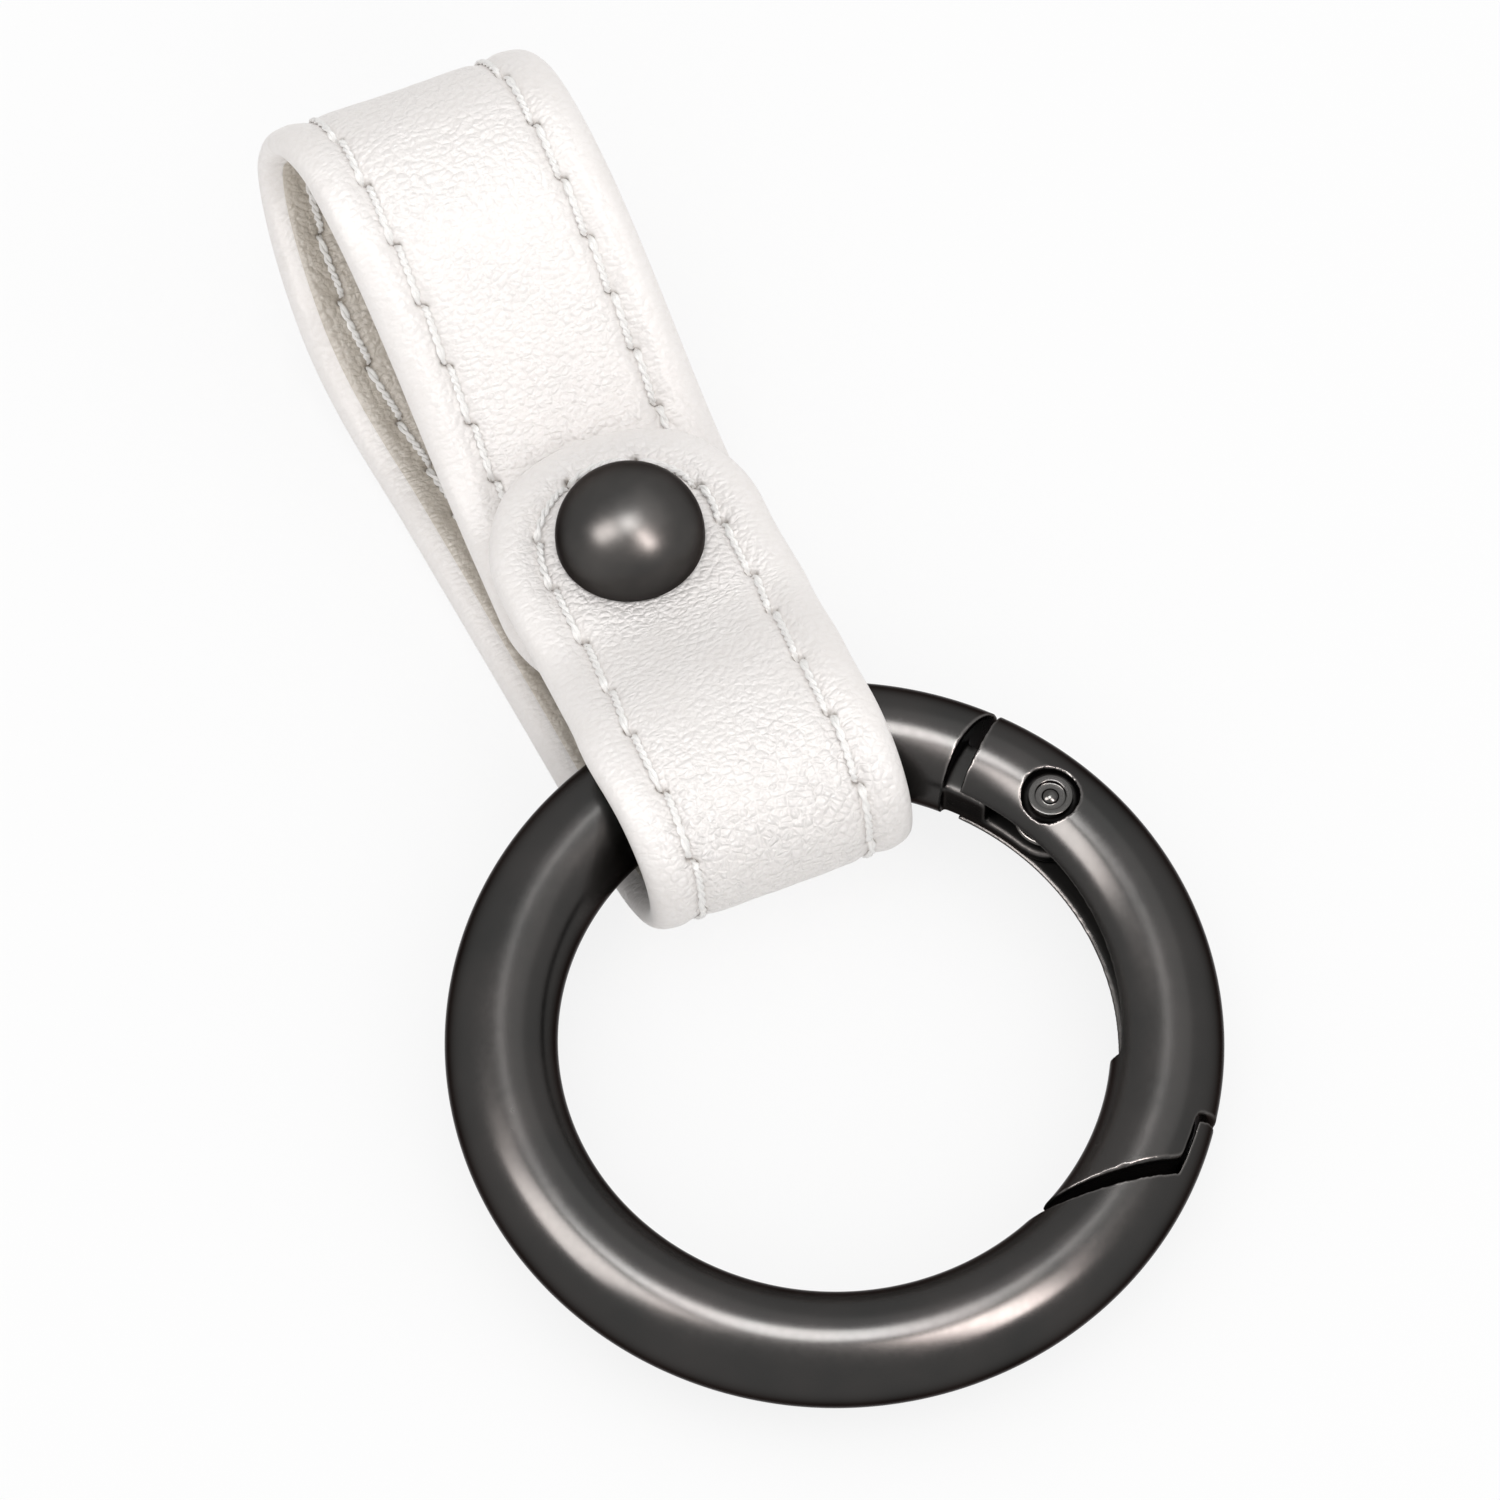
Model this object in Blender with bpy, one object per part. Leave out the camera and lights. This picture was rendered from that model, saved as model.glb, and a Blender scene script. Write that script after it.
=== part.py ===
"""Keychain: a folded faux leather strap with a press stud, on a round spring gate ring.

It lies on its back. Metres, +Z up, +X across the strap, +Y along it from the ring to the top loop.
The origin is on the surface that it lies on, under the middle of the whole keychain.
"""

import bisect
import math

import bmesh
import bpy
from mathutils import Matrix, Vector

MM = 0.001
QUARTER = math.pi / 2

# The ring, round the middle of its tube
RING_RADIUS = 19.1 * MM
TUBE_RADIUS = 3.25 * MM

# The strap, and the layers that it is sewn from
STRAP_WIDTH = 16.9 * MM
SKIN_THICKNESS = 1.2 * MM
LINING_THICKNESS = 0.55 * MM
LAYER_GAP = 0.05 * MM
TURNED_LIP = 1.9 * MM
SEAM_INSET = 3.0 * MM
GROOVE_WIDTH = 0.6 * MM
SKIN_GROOVE_DEPTH = 0.55 * MM
LINING_GROOVE_DEPTH = 0.45 * MM
STITCH_PITCH = 3.7 * MM
THREAD_RADIUS = 0.16 * MM
THREAD_DIP = 0.1 * MM
SEAM_PULL = 0.12 * MM
SEAM_SLOPE = 0.5 * MM
EDGE_ROUND = 1.4 * MM
THREAD_COVER = 0.03 * MM
TAB_CUT_GAP = 0.1 * MM

# How the strap runs
SNAP_REACH = 13.7 * MM
SNAP_SIDE = 0.4 * MM
SNAP_FLOAT = 1.1 * MM
RING_REST_GAP = 0.2 * MM
RING_HEADROOM = 0.3 * MM
LOWER_LOOP_REACH = 8.1 * MM
APEX_HEADROOM = 2.3 * MM
CREST_SETBACK = 1.9 * MM
LANDING_SETBACK = 2.2 * MM
CREST_SLOPE = math.radians(15)
BACK_RUN_LENGTH = 28.5 * MM
TOP_LOOP_REACH = 32.9 * MM
TOP_LOOP_HEIGHT = 15.4 * MM
TOP_LOOP_LEAN = 5.5 * MM
TAB_TIP_DROOP = 1.0 * MM
WAIST_SHARE = 0.965
LOWER_DRIFT = 1.2 * MM
TIP_SLOPE = math.radians(18)
SLANT = math.radians(30)
UPPER_DRIFT = -3.7 * MM
CREST_DRIFT_SHARE = 0.8
LANDING_DRIFT_SHARE = 0.6
LIFT_DRIFT_SHARE = 0.6
SHOULDER_SETBACK_SHARE = 0.2
SHOULDER_HEIGHT_SHARE = 0.23
TURN_DRIFT_SHARE = 0.7
TURN_HEIGHT_SHARE = 0.68
TOP_DRIFT_SHARE = 0.3

# The press stud
CAP_RADIUS = 4.45 * MM
CAP_HEIGHT = 4.5 * MM
CAP_SKIRT = 0.4 * MM
SHANK_RADIUS = 1.4 * MM
HOLE_CLEARANCE = 0.1 * MM
SNAP_CLEARANCE = 0.06 * MM
SOCKET_RADIUS = 4.1 * MM
SOCKET_HEIGHT = 1.3 * MM
SOCKET_PLATE = 0.35 * MM
SOCKET_BORE = 2.4 * MM
STUD_RADIUS = 3.9 * MM
STUD_FLANGE = 0.4 * MM
KNOB_RADIUS = 1.55 * MM
KNOB_HEIGHT = 0.6 * MM
KNOB_WALL = 0.3 * MM
POST_HEAD_RADIUS = 3.6 * MM
POST_HEAD_HEIGHT = 0.4 * MM
POST_RISE = 0.3 * MM
RING_SPRING_WIRE = 0.18 * MM
RING_SPRING_GAP = math.radians(30)
CAP_FLARE = 0.2 * MM

# The spring gate, with angles clockwise round the ring from the strap
BODY_END = math.radians(45.2)
END_HORN = math.radians(2.6)
END_HOLLOW_DEPTH = 0.5 * MM
GATE_START = math.radians(48.3)
PIN_ANGLE = math.radians(64.0)
CHANNEL_END = math.radians(118.0)
PIN_OFFSET = 0.35 * MM
PIN_RADIUS = 0.9 * MM
PIN_CLEARANCE = 0.06 * MM
RIVET_RADIUS = 1.3 * MM
RIVET_HEAD = 0.5 * MM
RIVET_DOME = 0.5 * MM
RIVET_DOME_HEIGHT = 0.25 * MM
RIVET_EDGE = 0.15 * MM
COUNTERBORE_RADIUS = 1.65 * MM
COUNTERBORE_DEPTH = 0.85 * MM
CHANNEL_HALF = 1.65 * MM
CHANNEL_DEPTH = 2.1 * MM
CHANNEL_CLEARANCE = 0.15 * MM
NOSE_LINE_SHARE = 0.728
NOSE_TILT = math.radians(6)
NOSE_GAP = 0.7 * MM
LIP_THICKNESS = 0.9 * MM
LIP_LENGTH = 2.4 * MM
LIP_GAP = 0.12 * MM
TONGUE_INSET = 0.55 * MM
TONGUE_WIDTH = 3.2 * MM
TONGUE_THICKNESS = 1.0 * MM
TONGUE_ROOT_LENGTH = 2.0 * MM
KNUCKLE_RADIUS = 2.3 * MM
SPRING_WIRE = 0.16 * MM
SPRING_RADIUS = 1.9 * MM
SPRING_TURNS = 2
GATE_LEG = 6.5 * MM
LEAST_SPRING_GAP = 0.4 * MM

# How finely round shapes are cut up
TUBE_SIDES = 20
LATHE_STEPS = 32
THREAD_SIDES = 5
ARC_STEP = math.radians(6)
BEND_STEP = math.radians(15)
BEND_SAG = 0.03 * MM
MERGE_LENGTH = 0.2 * MM
WELD = 0.0005 * MM
END_STEPS = 14
EDGE_STEPS = 6
ROUTE_SAMPLES = 40
CUTTER_OVERRUN = 5 * MM
DOME_STEPS = 8
SPLIT_RING_STEPS = 20
CURL_STEPS = 10
WIRE_SIDES = 6
SMOOTH_ANGLE = math.radians(35)

# Sizes that follow from those above
NOSE_LINE = NOSE_LINE_SHARE * RING_RADIUS
SNAP_DISTANCE = RING_RADIUS + SNAP_REACH
TOP_LOOP_DISTANCE = SNAP_DISTANCE + TOP_LOOP_REACH
SEAM_EDGE = STRAP_WIDTH / 2 - SEAM_INSET - GROOVE_WIDTH / 2
THICKNESS = SKIN_THICKNESS + LINING_THICKNESS + LAYER_GAP
HALF_THICKNESS = THICKNESS / 2
HALF_WIDTH = STRAP_WIDTH / 2
SEAM = HALF_WIDTH - SEAM_INSET
STRAP_UNDER_RING = THICKNESS + RING_REST_GAP
RING_TILT = math.asin(STRAP_UNDER_RING / (2 * RING_RADIUS))
RING_CENTRE_HEIGHT = TUBE_RADIUS + STRAP_UNDER_RING / 2
TUBE_HEIGHT = TUBE_RADIUS + STRAP_UNDER_RING
SWING_ANGLE = math.asin(LOWER_DRIFT / RING_RADIUS)
FULL_TURN = 2 * math.pi
ORIGIN_SHIFT = -(TOP_LOOP_DISTANCE + HALF_THICKNESS - RING_RADIUS * math.cos(RING_TILT) - TUBE_RADIUS) / 2
FRONT_MIDDLE = THICKNESS + SNAP_FLOAT + POST_HEAD_HEIGHT + SNAP_CLEARANCE + HALF_THICKNESS
FRONT_TOP = FRONT_MIDDLE + HALF_THICKNESS
SNAP_STACK = STUD_FLANGE + SOCKET_HEIGHT + 3 * SNAP_CLEARANCE
TAB_MIDDLE = FRONT_TOP + SNAP_STACK + HALF_THICKNESS
CREST_HEIGHT = TUBE_HEIGHT + TUBE_RADIUS + RING_HEADROOM + HALF_THICKNESS


def material(name, colour, roughness, metallic):
    made = bpy.data.materials.new(name)
    made.use_nodes = True
    shader = made.node_tree.nodes["Principled BSDF"]
    shader.inputs["Base Color"].default_value = (*colour, 1)
    shader.inputs["Roughness"].default_value = roughness
    shader.inputs["Metallic"].default_value = metallic
    made.diffuse_color = (*colour, 1)
    return made


LEATHER = ("faux_leather", (0.86, 0.84, 0.82), 0.5, 0)
LINING = ("faux_leather_lining", (0.8, 0.77, 0.74), 0.6, 0)
THREAD = ("nylon_thread", (0.83, 0.82, 0.8), 0.45, 0)
GUNMETAL = ("gunmetal_plating", (0.16, 0.155, 0.15), 0.28, 1)
STEEL = ("spring_steel", (0.42, 0.42, 0.43), 0.3, 1)


def object_from(name, mesh, finish, smooth_angle=SMOOTH_ANGLE):
    """A node: an object with its own material, shaded smooth up to an angle."""
    node = bpy.data.objects.new(name, mesh)
    bpy.context.collection.objects.link(node)
    mesh.materials.append(material(f"{name}_{finish[0]}", *finish[1:]))
    mesh.shade_smooth()
    mesh.set_sharp_from_angle(angle=smooth_angle)
    return node


def mesh_of(name, points, faces):
    """A mesh with doubled points merged, flat slivers dropped and its faces turned outwards."""
    shape = bmesh.new()
    corners = [shape.verts.new(p) for p in points]
    for face in faces:
        shape.faces.new([corners[i] for i in face])
    bmesh.ops.remove_doubles(shape, verts=shape.verts, dist=WELD)
    bmesh.ops.recalc_face_normals(shape, faces=shape.faces)
    mesh = bpy.data.meshes.new(name)
    shape.to_mesh(mesh)
    shape.free()
    return mesh


class Route:
    """The middle line of the folded strap, by distance along it from the tab's tip.

    It has a corner wherever a chord from the last one would stray from the curve by BEND_SAG.
    """

    def __init__(self, knots):
        places, widths, corners = self._fine_line(knots)
        last = len(places) - 1
        ways = [(places[min(i + 1, last)] - places[max(i - 1, 0)]).normalized() for i in range(last + 1)]
        self.places, self.ways, self.widths, self.lengths, self.marks = [], [], [], [], []
        turned = run = 0.0
        for i, place in enumerate(places):
            if i:
                run += (place - places[i - 1]).length
                turned += ways[i - 1].angle(ways[i], 0)
            if i in corners or turned > BEND_STEP or run * turned > 8 * BEND_SAG:
                gone = (place - self.places[-1]).length if self.places else 0.0
                self.lengths.append(self.lengths[-1] + gone if self.lengths else 0.0)
                self.places.append(place)
                self.ways.append(ways[i])
                self.widths.append(widths[i])
                turned = run = 0.0
            if i in corners:
                self.marks.append(self.lengths[-1])

    def _fine_line(self, knots):
        """Close points along curves that leave and reach every knot at its heading, and which are knots."""
        flat = [Vector((0, k[1], k[2])) for k in knots]
        sides = [k[0] for k in knots]
        places, widths, corners = [], [], [0]
        for i in range(len(knots) - 1):
            chord = (flat[i + 1] - flat[i]).length
            pull = chord / math.cos((knots[i + 1][3] - knots[i][3]) / 4) ** 2
            ends = [pull * Vector((0, math.cos(k[3]), math.sin(k[3]))) for k in knots[i : i + 2]]
            for j in (0, 1):
                ends[j].x = chord * self._drift_slope(flat, sides, i + j)
            starts = [flat[i + j] + Vector((sides[i + j], 0, 0)) for j in (0, 1)]
            for step in range(0 if i == 0 else 1, ROUTE_SAMPLES + 1):
                t = step / ROUTE_SAMPLES
                place = (1 + 2 * t) * (1 - t) ** 2 * starts[0] + t * (1 - t) ** 2 * ends[0]
                places.append(place + t * t * (3 - 2 * t) * starts[1] + t * t * (t - 1) * ends[1])
                widths.append(knots[i][4] + (knots[i + 1][4] - knots[i][4]) * t * t * (3 - 2 * t))
            corners.append(len(places) - 1)
        return places, widths, set(corners)

    @staticmethod
    def _drift_slope(flat, sides, j):
        """How fast the strap drifts sideways at a knot: not at all where it runs straight before or after."""
        if j in (0, len(flat) - 1) or sides[j] in (sides[j - 1], sides[j + 1]):
            return 0
        run = (flat[j + 1] - flat[j]).length + (flat[j] - flat[j - 1]).length
        return (sides[j + 1] - sides[j - 1]) / run

    def place(self, distance, across, out):
        """A point of the strap: along its length, across its width, and out from its middle layer."""
        low = bisect.bisect_right(self.lengths, distance) - 1
        low = min(max(low, 0), len(self.lengths) - 2)
        share = (distance - self.lengths[low]) / (self.lengths[low + 1] - self.lengths[low])
        middle = self.places[low].lerp(self.places[low + 1], share)
        way = self.ways[low].lerp(self.ways[low + 1], min(max(share, 0), 1)).normalized()
        width = (Vector((1, 0, 0)) - way.x * way).normalized()
        spread = self.widths[low] + share * (self.widths[low + 1] - self.widths[low])
        return middle + across * spread * width + out * way.cross(width)

    def stations(self, start, end):
        """The distances of the route's own corners from start to end, in that order."""
        low, high = min(start, end), max(start, end)
        inner = [length for length in self.lengths if low + MERGE_LENGTH < length < high - MERGE_LENGTH]
        return [start, *(inner if start < end else reversed(inner)), end]


def strap_route():
    """The strap from the tab's tip, round the ring, along the back, over the top and down to its end."""
    tube_middle = RING_RADIUS * math.cos(RING_TILT)
    crest = tube_middle + CREST_SETBACK
    landing = tube_middle - LANDING_SETBACK
    lower_apex = tube_middle - LOWER_LOOP_REACH
    apex_height = (TUBE_HEIGHT + TUBE_RADIUS + APEX_HEADROOM) / 2
    lift = landing + BACK_RUN_LENGTH
    ahead, back = SNAP_DISTANCE - SEAM_EDGE, SNAP_DISTANCE + SEAM_EDGE
    top_crest = TOP_LOOP_DISTANCE - TOP_LOOP_LEAN
    rise = TOP_LOOP_HEIGHT - HALF_THICKNESS
    shoulder = top_crest - SHOULDER_SETBACK_SHARE * rise
    half_turn = math.pi
    turned = 2 * half_turn + QUARTER
    return Route(
        [
            (SNAP_SIDE, SNAP_DISTANCE + HALF_WIDTH, TAB_MIDDLE - TAB_TIP_DROOP, half_turn - TIP_SLOPE, 1),
            (SNAP_SIDE, back, TAB_MIDDLE, half_turn, 1),
            (SNAP_SIDE, ahead, TAB_MIDDLE, half_turn, 1),
            (CREST_DRIFT_SHARE * LOWER_DRIFT, crest, CREST_HEIGHT, half_turn - CREST_SLOPE, 1),
            (LOWER_DRIFT, lower_apex, apex_height, half_turn + QUARTER, WAIST_SHARE),
            (LANDING_DRIFT_SHARE * LOWER_DRIFT, landing, HALF_THICKNESS, 2 * half_turn, 1),
            (LIFT_DRIFT_SHARE * UPPER_DRIFT, lift, HALF_THICKNESS, 2 * half_turn, 1),
            (UPPER_DRIFT, shoulder, SHOULDER_HEIGHT_SHARE * rise + HALF_THICKNESS, 2 * half_turn + SLANT, 1),
            (TURN_DRIFT_SHARE * UPPER_DRIFT, TOP_LOOP_DISTANCE, TURN_HEIGHT_SHARE * rise, turned, 1),
            (TOP_DRIFT_SHARE * UPPER_DRIFT, top_crest, rise, 3 * half_turn, 1),
            (SNAP_SIDE, back, FRONT_MIDDLE, 3 * half_turn, 1),
            (SNAP_SIDE, SNAP_DISTANCE - HALF_WIDTH, FRONT_MIDDLE, 3 * half_turn, 1),
        ]
    )


def skin_section():
    """Half of the outer skin: its face, its rounded edge and the lip that is turned under."""
    top, bottom = HALF_THICKNESS, -HALF_THICKNESS
    ceiling = top - SKIN_THICKNESS
    rim = HALF_WIDTH - EDGE_ROUND
    inner, outer = SEAM - GROOVE_WIDTH / 2, SEAM + GROOVE_WIDTH / 2
    points = [
        (0, top),
        (inner - SEAM_SLOPE, top),
        (inner, top - SEAM_PULL),
        (inner, top - SKIN_GROOVE_DEPTH),
        (outer, top - SKIN_GROOVE_DEPTH),
        (outer, top - SEAM_PULL),
    ]
    for step in range(EDGE_STEPS + 1):
        turn = math.pi * step / EDGE_STEPS
        points.append((rim + EDGE_ROUND * math.sin(turn), HALF_THICKNESS * math.cos(turn)))
    lip = HALF_WIDTH - TURNED_LIP
    return points + [(lip, bottom), (lip, ceiling), (SEAM_EDGE, ceiling), (0, ceiling)]


def lining_section():
    """Half of the lining, which lies between the lips and has the inner row of stitches in its face."""
    bottom = -HALF_THICKNESS
    edge = HALF_WIDTH - TURNED_LIP - LAYER_GAP
    seam = list(reversed(groove(bottom, bottom + LINING_GROOVE_DEPTH)))
    top = bottom + LINING_THICKNESS
    return [(0, top), (SEAM_EDGE, top), (edge, top), (edge, bottom), *seam, (0, bottom)]


def groove(face, floor):
    """The channel that the stitches lie in, from the middle of the strap outwards."""
    half = GROOVE_WIDTH / 2
    return [(SEAM - half, face), (SEAM - half, floor), (SEAM + half, floor), (SEAM + half, face)]


def strap_piece(name, route, section, start, snap, direction, finish):
    """A layer of the strap, cut square at start and turned round the press stud's middle at the other end.

    Every layer splits its faces the same way, so that layers that lie together never cross.
    """
    whole = [(-u, v) for u, v in reversed(section)] + section
    rows = [[route.place(s, u, v) for u, v in whole] for s in route.stations(start, snap)]
    points = [p for row in rows for p in row]
    width, count = len(whole), len(section)
    faces = [tuple(range(width))]
    for r in range(len(rows) - 1):
        for j in range(width):
            k = (j + 1) % width
            j, k = (j, k) if whole[j][0] < whole[k][0] else (k, j)
            here, there = r * width, (r + 1) * width
            faces += [(here + j, here + k, there + k), (here + j, there + k, there + j)]
    first = len(points)
    for step in range(END_STEPS + 1):
        turn = math.pi * step / END_STEPS
        for u, v in section:
            points.append(route.place(snap + direction * u * math.sin(turn), u * math.cos(turn), v))
    for step in range(END_STEPS):
        for j in range(count - 1):
            a, b = first + step * count + j, first + (step + 1) * count + j
            faces += [(a, a + 1, b + 1), (a, b + 1, b)]
    return object_from(name, mesh_of(name, points, whole_faces(points, faces)), finish)


def whole_faces(points, faces):
    """The faces with doubled corners left out, and those that have no area dropped."""
    found = []
    for face in faces:
        corners = []
        for i in face:
            if not corners or (points[i] - points[corners[-1]]).length > WELD:
                corners.append(i)
        if (points[corners[0]] - points[corners[-1]]).length <= WELD:
            corners.pop()
        if len(corners) > 2:
            found.append(tuple(corners))
    return found


def seam_path(start, snap, direction):
    """(along, across) of every half stitch: up one side, round the end and down the other side."""
    straight = abs(snap - start)
    bend = math.pi * SEAM
    halves = 2 * round((2 * straight + bend) / STITCH_PITCH)
    found = []
    for i in range(halves + 1):
        gone = (2 * straight + bend) * i / halves
        if gone < straight:
            found.append((start + direction * gone, -SEAM))
        elif gone < straight + bend:
            turn = (gone - straight) / SEAM
            found.append((snap + direction * SEAM * math.sin(turn), -SEAM * math.cos(turn)))
        else:
            found.append((snap - direction * (gone - straight - bend), SEAM))
    return found


def thread(name, route, start, snap, direction, side):
    """One row of stitches: a thread that dips into its groove at every hole. Side is 1 on the outer face."""
    shallow = THREAD_RADIUS + THREAD_COVER
    depths = (shallow + THREAD_DIP, shallow) if side > 0 else (shallow, shallow)
    margin = THREAD_RADIUS
    path = []
    for i, (s, u) in enumerate(seam_path(start + direction * margin, snap, direction)):
        path.append(route.place(s, u, side * (HALF_THICKNESS - depths[i % 2])))
    return object_from(name, tube_mesh(name, path, THREAD_RADIUS, THREAD_SIDES), THREAD)


def tube_mesh(name, path, radius, sides):
    """A tube along points, capped at both ends, that doesn't twist on its way."""
    points, faces = [], []
    upward = Vector((0, 0, 1))
    for i, here in enumerate(path):
        way = (path[min(i + 1, len(path) - 1)] - path[max(i - 1, 0)]).normalized()
        upward = (upward - upward.dot(way) * way).normalized()
        beside = way.cross(upward)
        for k in range(sides):
            turn = FULL_TURN * k / sides
            points.append(here + radius * (math.cos(turn) * beside + math.sin(turn) * upward))
    for i in range(len(path) - 1):
        for k in range(sides):
            m = (k + 1) % sides
            faces.append((i * sides + k, i * sides + m, (i + 1) * sides + m, (i + 1) * sides + k))
    faces.append(tuple(reversed(range(sides))))
    faces.append(tuple(range((len(path) - 1) * sides, len(path) * sides)))
    return mesh_of(name, points, faces)


def lathe_mesh(name, profile, closed):
    """A turned shape. An open profile starts and ends on the axis, and a closed one goes round off it."""
    shape = bmesh.new()
    corners = [shape.verts.new((r, 0, z)) for r, z in profile]
    pairs = list(zip(corners, corners[1:])) + ([(corners[-1], corners[0])] if closed else [])
    edges = [shape.edges.new(pair) for pair in pairs]
    bmesh.ops.spin(
        shape, geom=corners + edges, cent=(0, 0, 0), axis=(0, 0, 1),
        angle=FULL_TURN, steps=LATHE_STEPS, use_merge=True,
    )
    bmesh.ops.remove_doubles(shape, verts=shape.verts, dist=WELD)
    bmesh.ops.recalc_face_normals(shape, faces=shape.faces)
    mesh = bpy.data.meshes.new(name)
    shape.to_mesh(mesh)
    shape.free()
    return mesh


def prism(name, outline, low, high):
    """A cutter or a block: an outline in the XY plane, drawn out between two heights."""
    points = [Vector((x, y, z)) for z in (low, high) for x, y in outline]
    n = len(outline)
    faces = [tuple(reversed(range(n))), tuple(range(n, 2 * n))]
    faces += [(i, (i + 1) % n, n + (i + 1) % n, n + i) for i in range(n)]
    node = bpy.data.objects.new(name, mesh_of(name, points, faces))
    bpy.context.collection.objects.link(node)
    node.hide_render = True
    node.display_type = "WIRE"
    return node


def apply_boolean(node, other, operation):
    """Cuts or joins for good, so that the helper can be thrown away."""
    change = node.modifiers.new(operation.lower(), "BOOLEAN")
    change.operation = operation
    change.object = other
    bpy.context.view_layer.update()
    graph = bpy.context.evaluated_depsgraph_get()
    mesh = bpy.data.meshes.new_from_object(node.evaluated_get(graph))
    node.modifiers.clear()
    node.data = mesh
    mesh.shade_smooth()
    mesh.set_sharp_from_angle(angle=SMOOTH_ANGLE)
    bpy.data.objects.remove(other)


def disc(x, y, radius, sides=LATHE_STEPS):
    turns = [FULL_TURN * i / sides for i in range(sides)]
    return [(x + radius * math.cos(t), y + radius * math.sin(t)) for t in turns]


def polar(radius, angle):
    """A place in the ring's plane: the angle runs clockwise from +Y, where the strap is."""
    return radius * math.sin(angle), radius * math.cos(angle)


def arc(radius, start, end):
    steps = max(1, round(abs(end - start) / ARC_STEP))
    return [polar(radius, start + (end - start) * i / steps) for i in range(steps + 1)]


def tube_arc(name, start, end, finish):
    """Part of the ring's round tube, cut square across at both ends."""
    path = [Vector((x, y, 0)) for x, y in arc(RING_RADIUS, start, end)]
    points, faces = [], []
    for here in path:
        outward = here.normalized()
        for k in range(TUBE_SIDES):
            turn = FULL_TURN * k / TUBE_SIDES
            lift = Vector((0, 0, math.sin(turn)))
            points.append(here + TUBE_RADIUS * (math.cos(turn) * outward + lift))
    n = TUBE_SIDES
    for i in range(len(path) - 1):
        for k in range(n):
            m = (k + 1) % n
            faces.append((i * n + k, i * n + m, (i + 1) * n + m, (i + 1) * n + k))
    faces.append(tuple(range(n)))
    faces.append(tuple(range((len(path) - 1) * n, len(path) * n)))
    return object_from(name, mesh_of(name, points, faces), finish)


def nose_cut(line, lip_radius, lip_end, corner_y):
    """An outline that cuts the tube along the nose: straight, then up inside the lip and out over its end."""
    far = RING_RADIUS + TUBE_RADIUS + CUTTER_OVERRUN
    start, end = math.acos(line / lip_radius), math.acos(lip_end / lip_radius)
    flat = [(0, line), *arc(lip_radius, start, end), (far, lip_end), (far, corner_y), (0, corner_y)]
    side, along = math.sin(NOSE_TILT), math.cos(NOSE_TILT)
    return [(x * along + y * side, y * along - x * side) for x, y in flat]


def end_scoop():
    """An outline that hollows the body's end, from its inner corner to the horn on its outside."""
    inside = Vector(polar(RING_RADIUS - TUBE_RADIUS, BODY_END))
    outside = Vector(polar(RING_RADIUS + TUBE_RADIUS, BODY_END + END_HORN))
    chord = outside - inside
    ahead = Vector((chord.y, -chord.x)).normalized()
    radius = (chord.length_squared / 4 + END_HOLLOW_DEPTH**2) / (2 * END_HOLLOW_DEPTH)
    centre = (inside + outside) / 2 + (radius - END_HOLLOW_DEPTH) * ahead
    return disc(centre.x, centre.y, radius, 2 * LATHE_STEPS)


def ring_body(pin):
    """The fixed part of the ring, with the lip that the gate closes under and the tongue of its hinge."""
    far = RING_RADIUS + TUBE_RADIUS + CUTTER_OVERRUN
    line, lip_radius = -NOSE_LINE - NOSE_GAP / 2, far - CUTTER_OVERRUN - LIP_THICKNESS
    start = math.acos((LIP_LENGTH - NOSE_LINE) / lip_radius) + NOSE_TILT - ARC_STEP
    node = tube_arc("ring_body", start, FULL_TURN + BODY_END + END_HORN + ARC_STEP, GUNMETAL)
    outline = nose_cut(line, lip_radius, LIP_LENGTH - NOSE_LINE, 0)
    apply_boolean(node, prism("nose_cutter", outline, -far, far), "DIFFERENCE")
    apply_boolean(node, prism("end_cutter", end_scoop(), -far, far), "DIFFERENCE")
    inner = RING_RADIUS - TUBE_RADIUS + TONGUE_INSET
    low, high = CHANNEL_CLEARANCE - CHANNEL_HALF, CHANNEL_HALF - CHANNEL_CLEARANCE
    root_start = BODY_END - TONGUE_ROOT_LENGTH / RING_RADIUS
    root_end = GATE_START + TONGUE_ROOT_LENGTH / RING_RADIUS
    outer = inner + TONGUE_WIDTH
    root = [*arc(outer, root_start, root_end), *arc(inner, root_end, root_start)]
    apply_boolean(node, prism("root", root, low, high), "UNION")
    tongue = [*arc(outer, root_start, PIN_ANGLE), *arc(inner, PIN_ANGLE, root_start)]
    top = low + TONGUE_THICKNESS
    apply_boolean(node, prism("tongue", tongue, low, top), "UNION")
    apply_boolean(node, prism("knuckle", disc(pin.x, pin.y, KNUCKLE_RADIUS), low, top), "UNION")
    bore = disc(pin.x, pin.y, PIN_RADIUS + PIN_CLEARANCE)
    apply_boolean(node, prism("tongue_bore", bore, low - CUTTER_OVERRUN, high), "DIFFERENCE")
    return node


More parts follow.
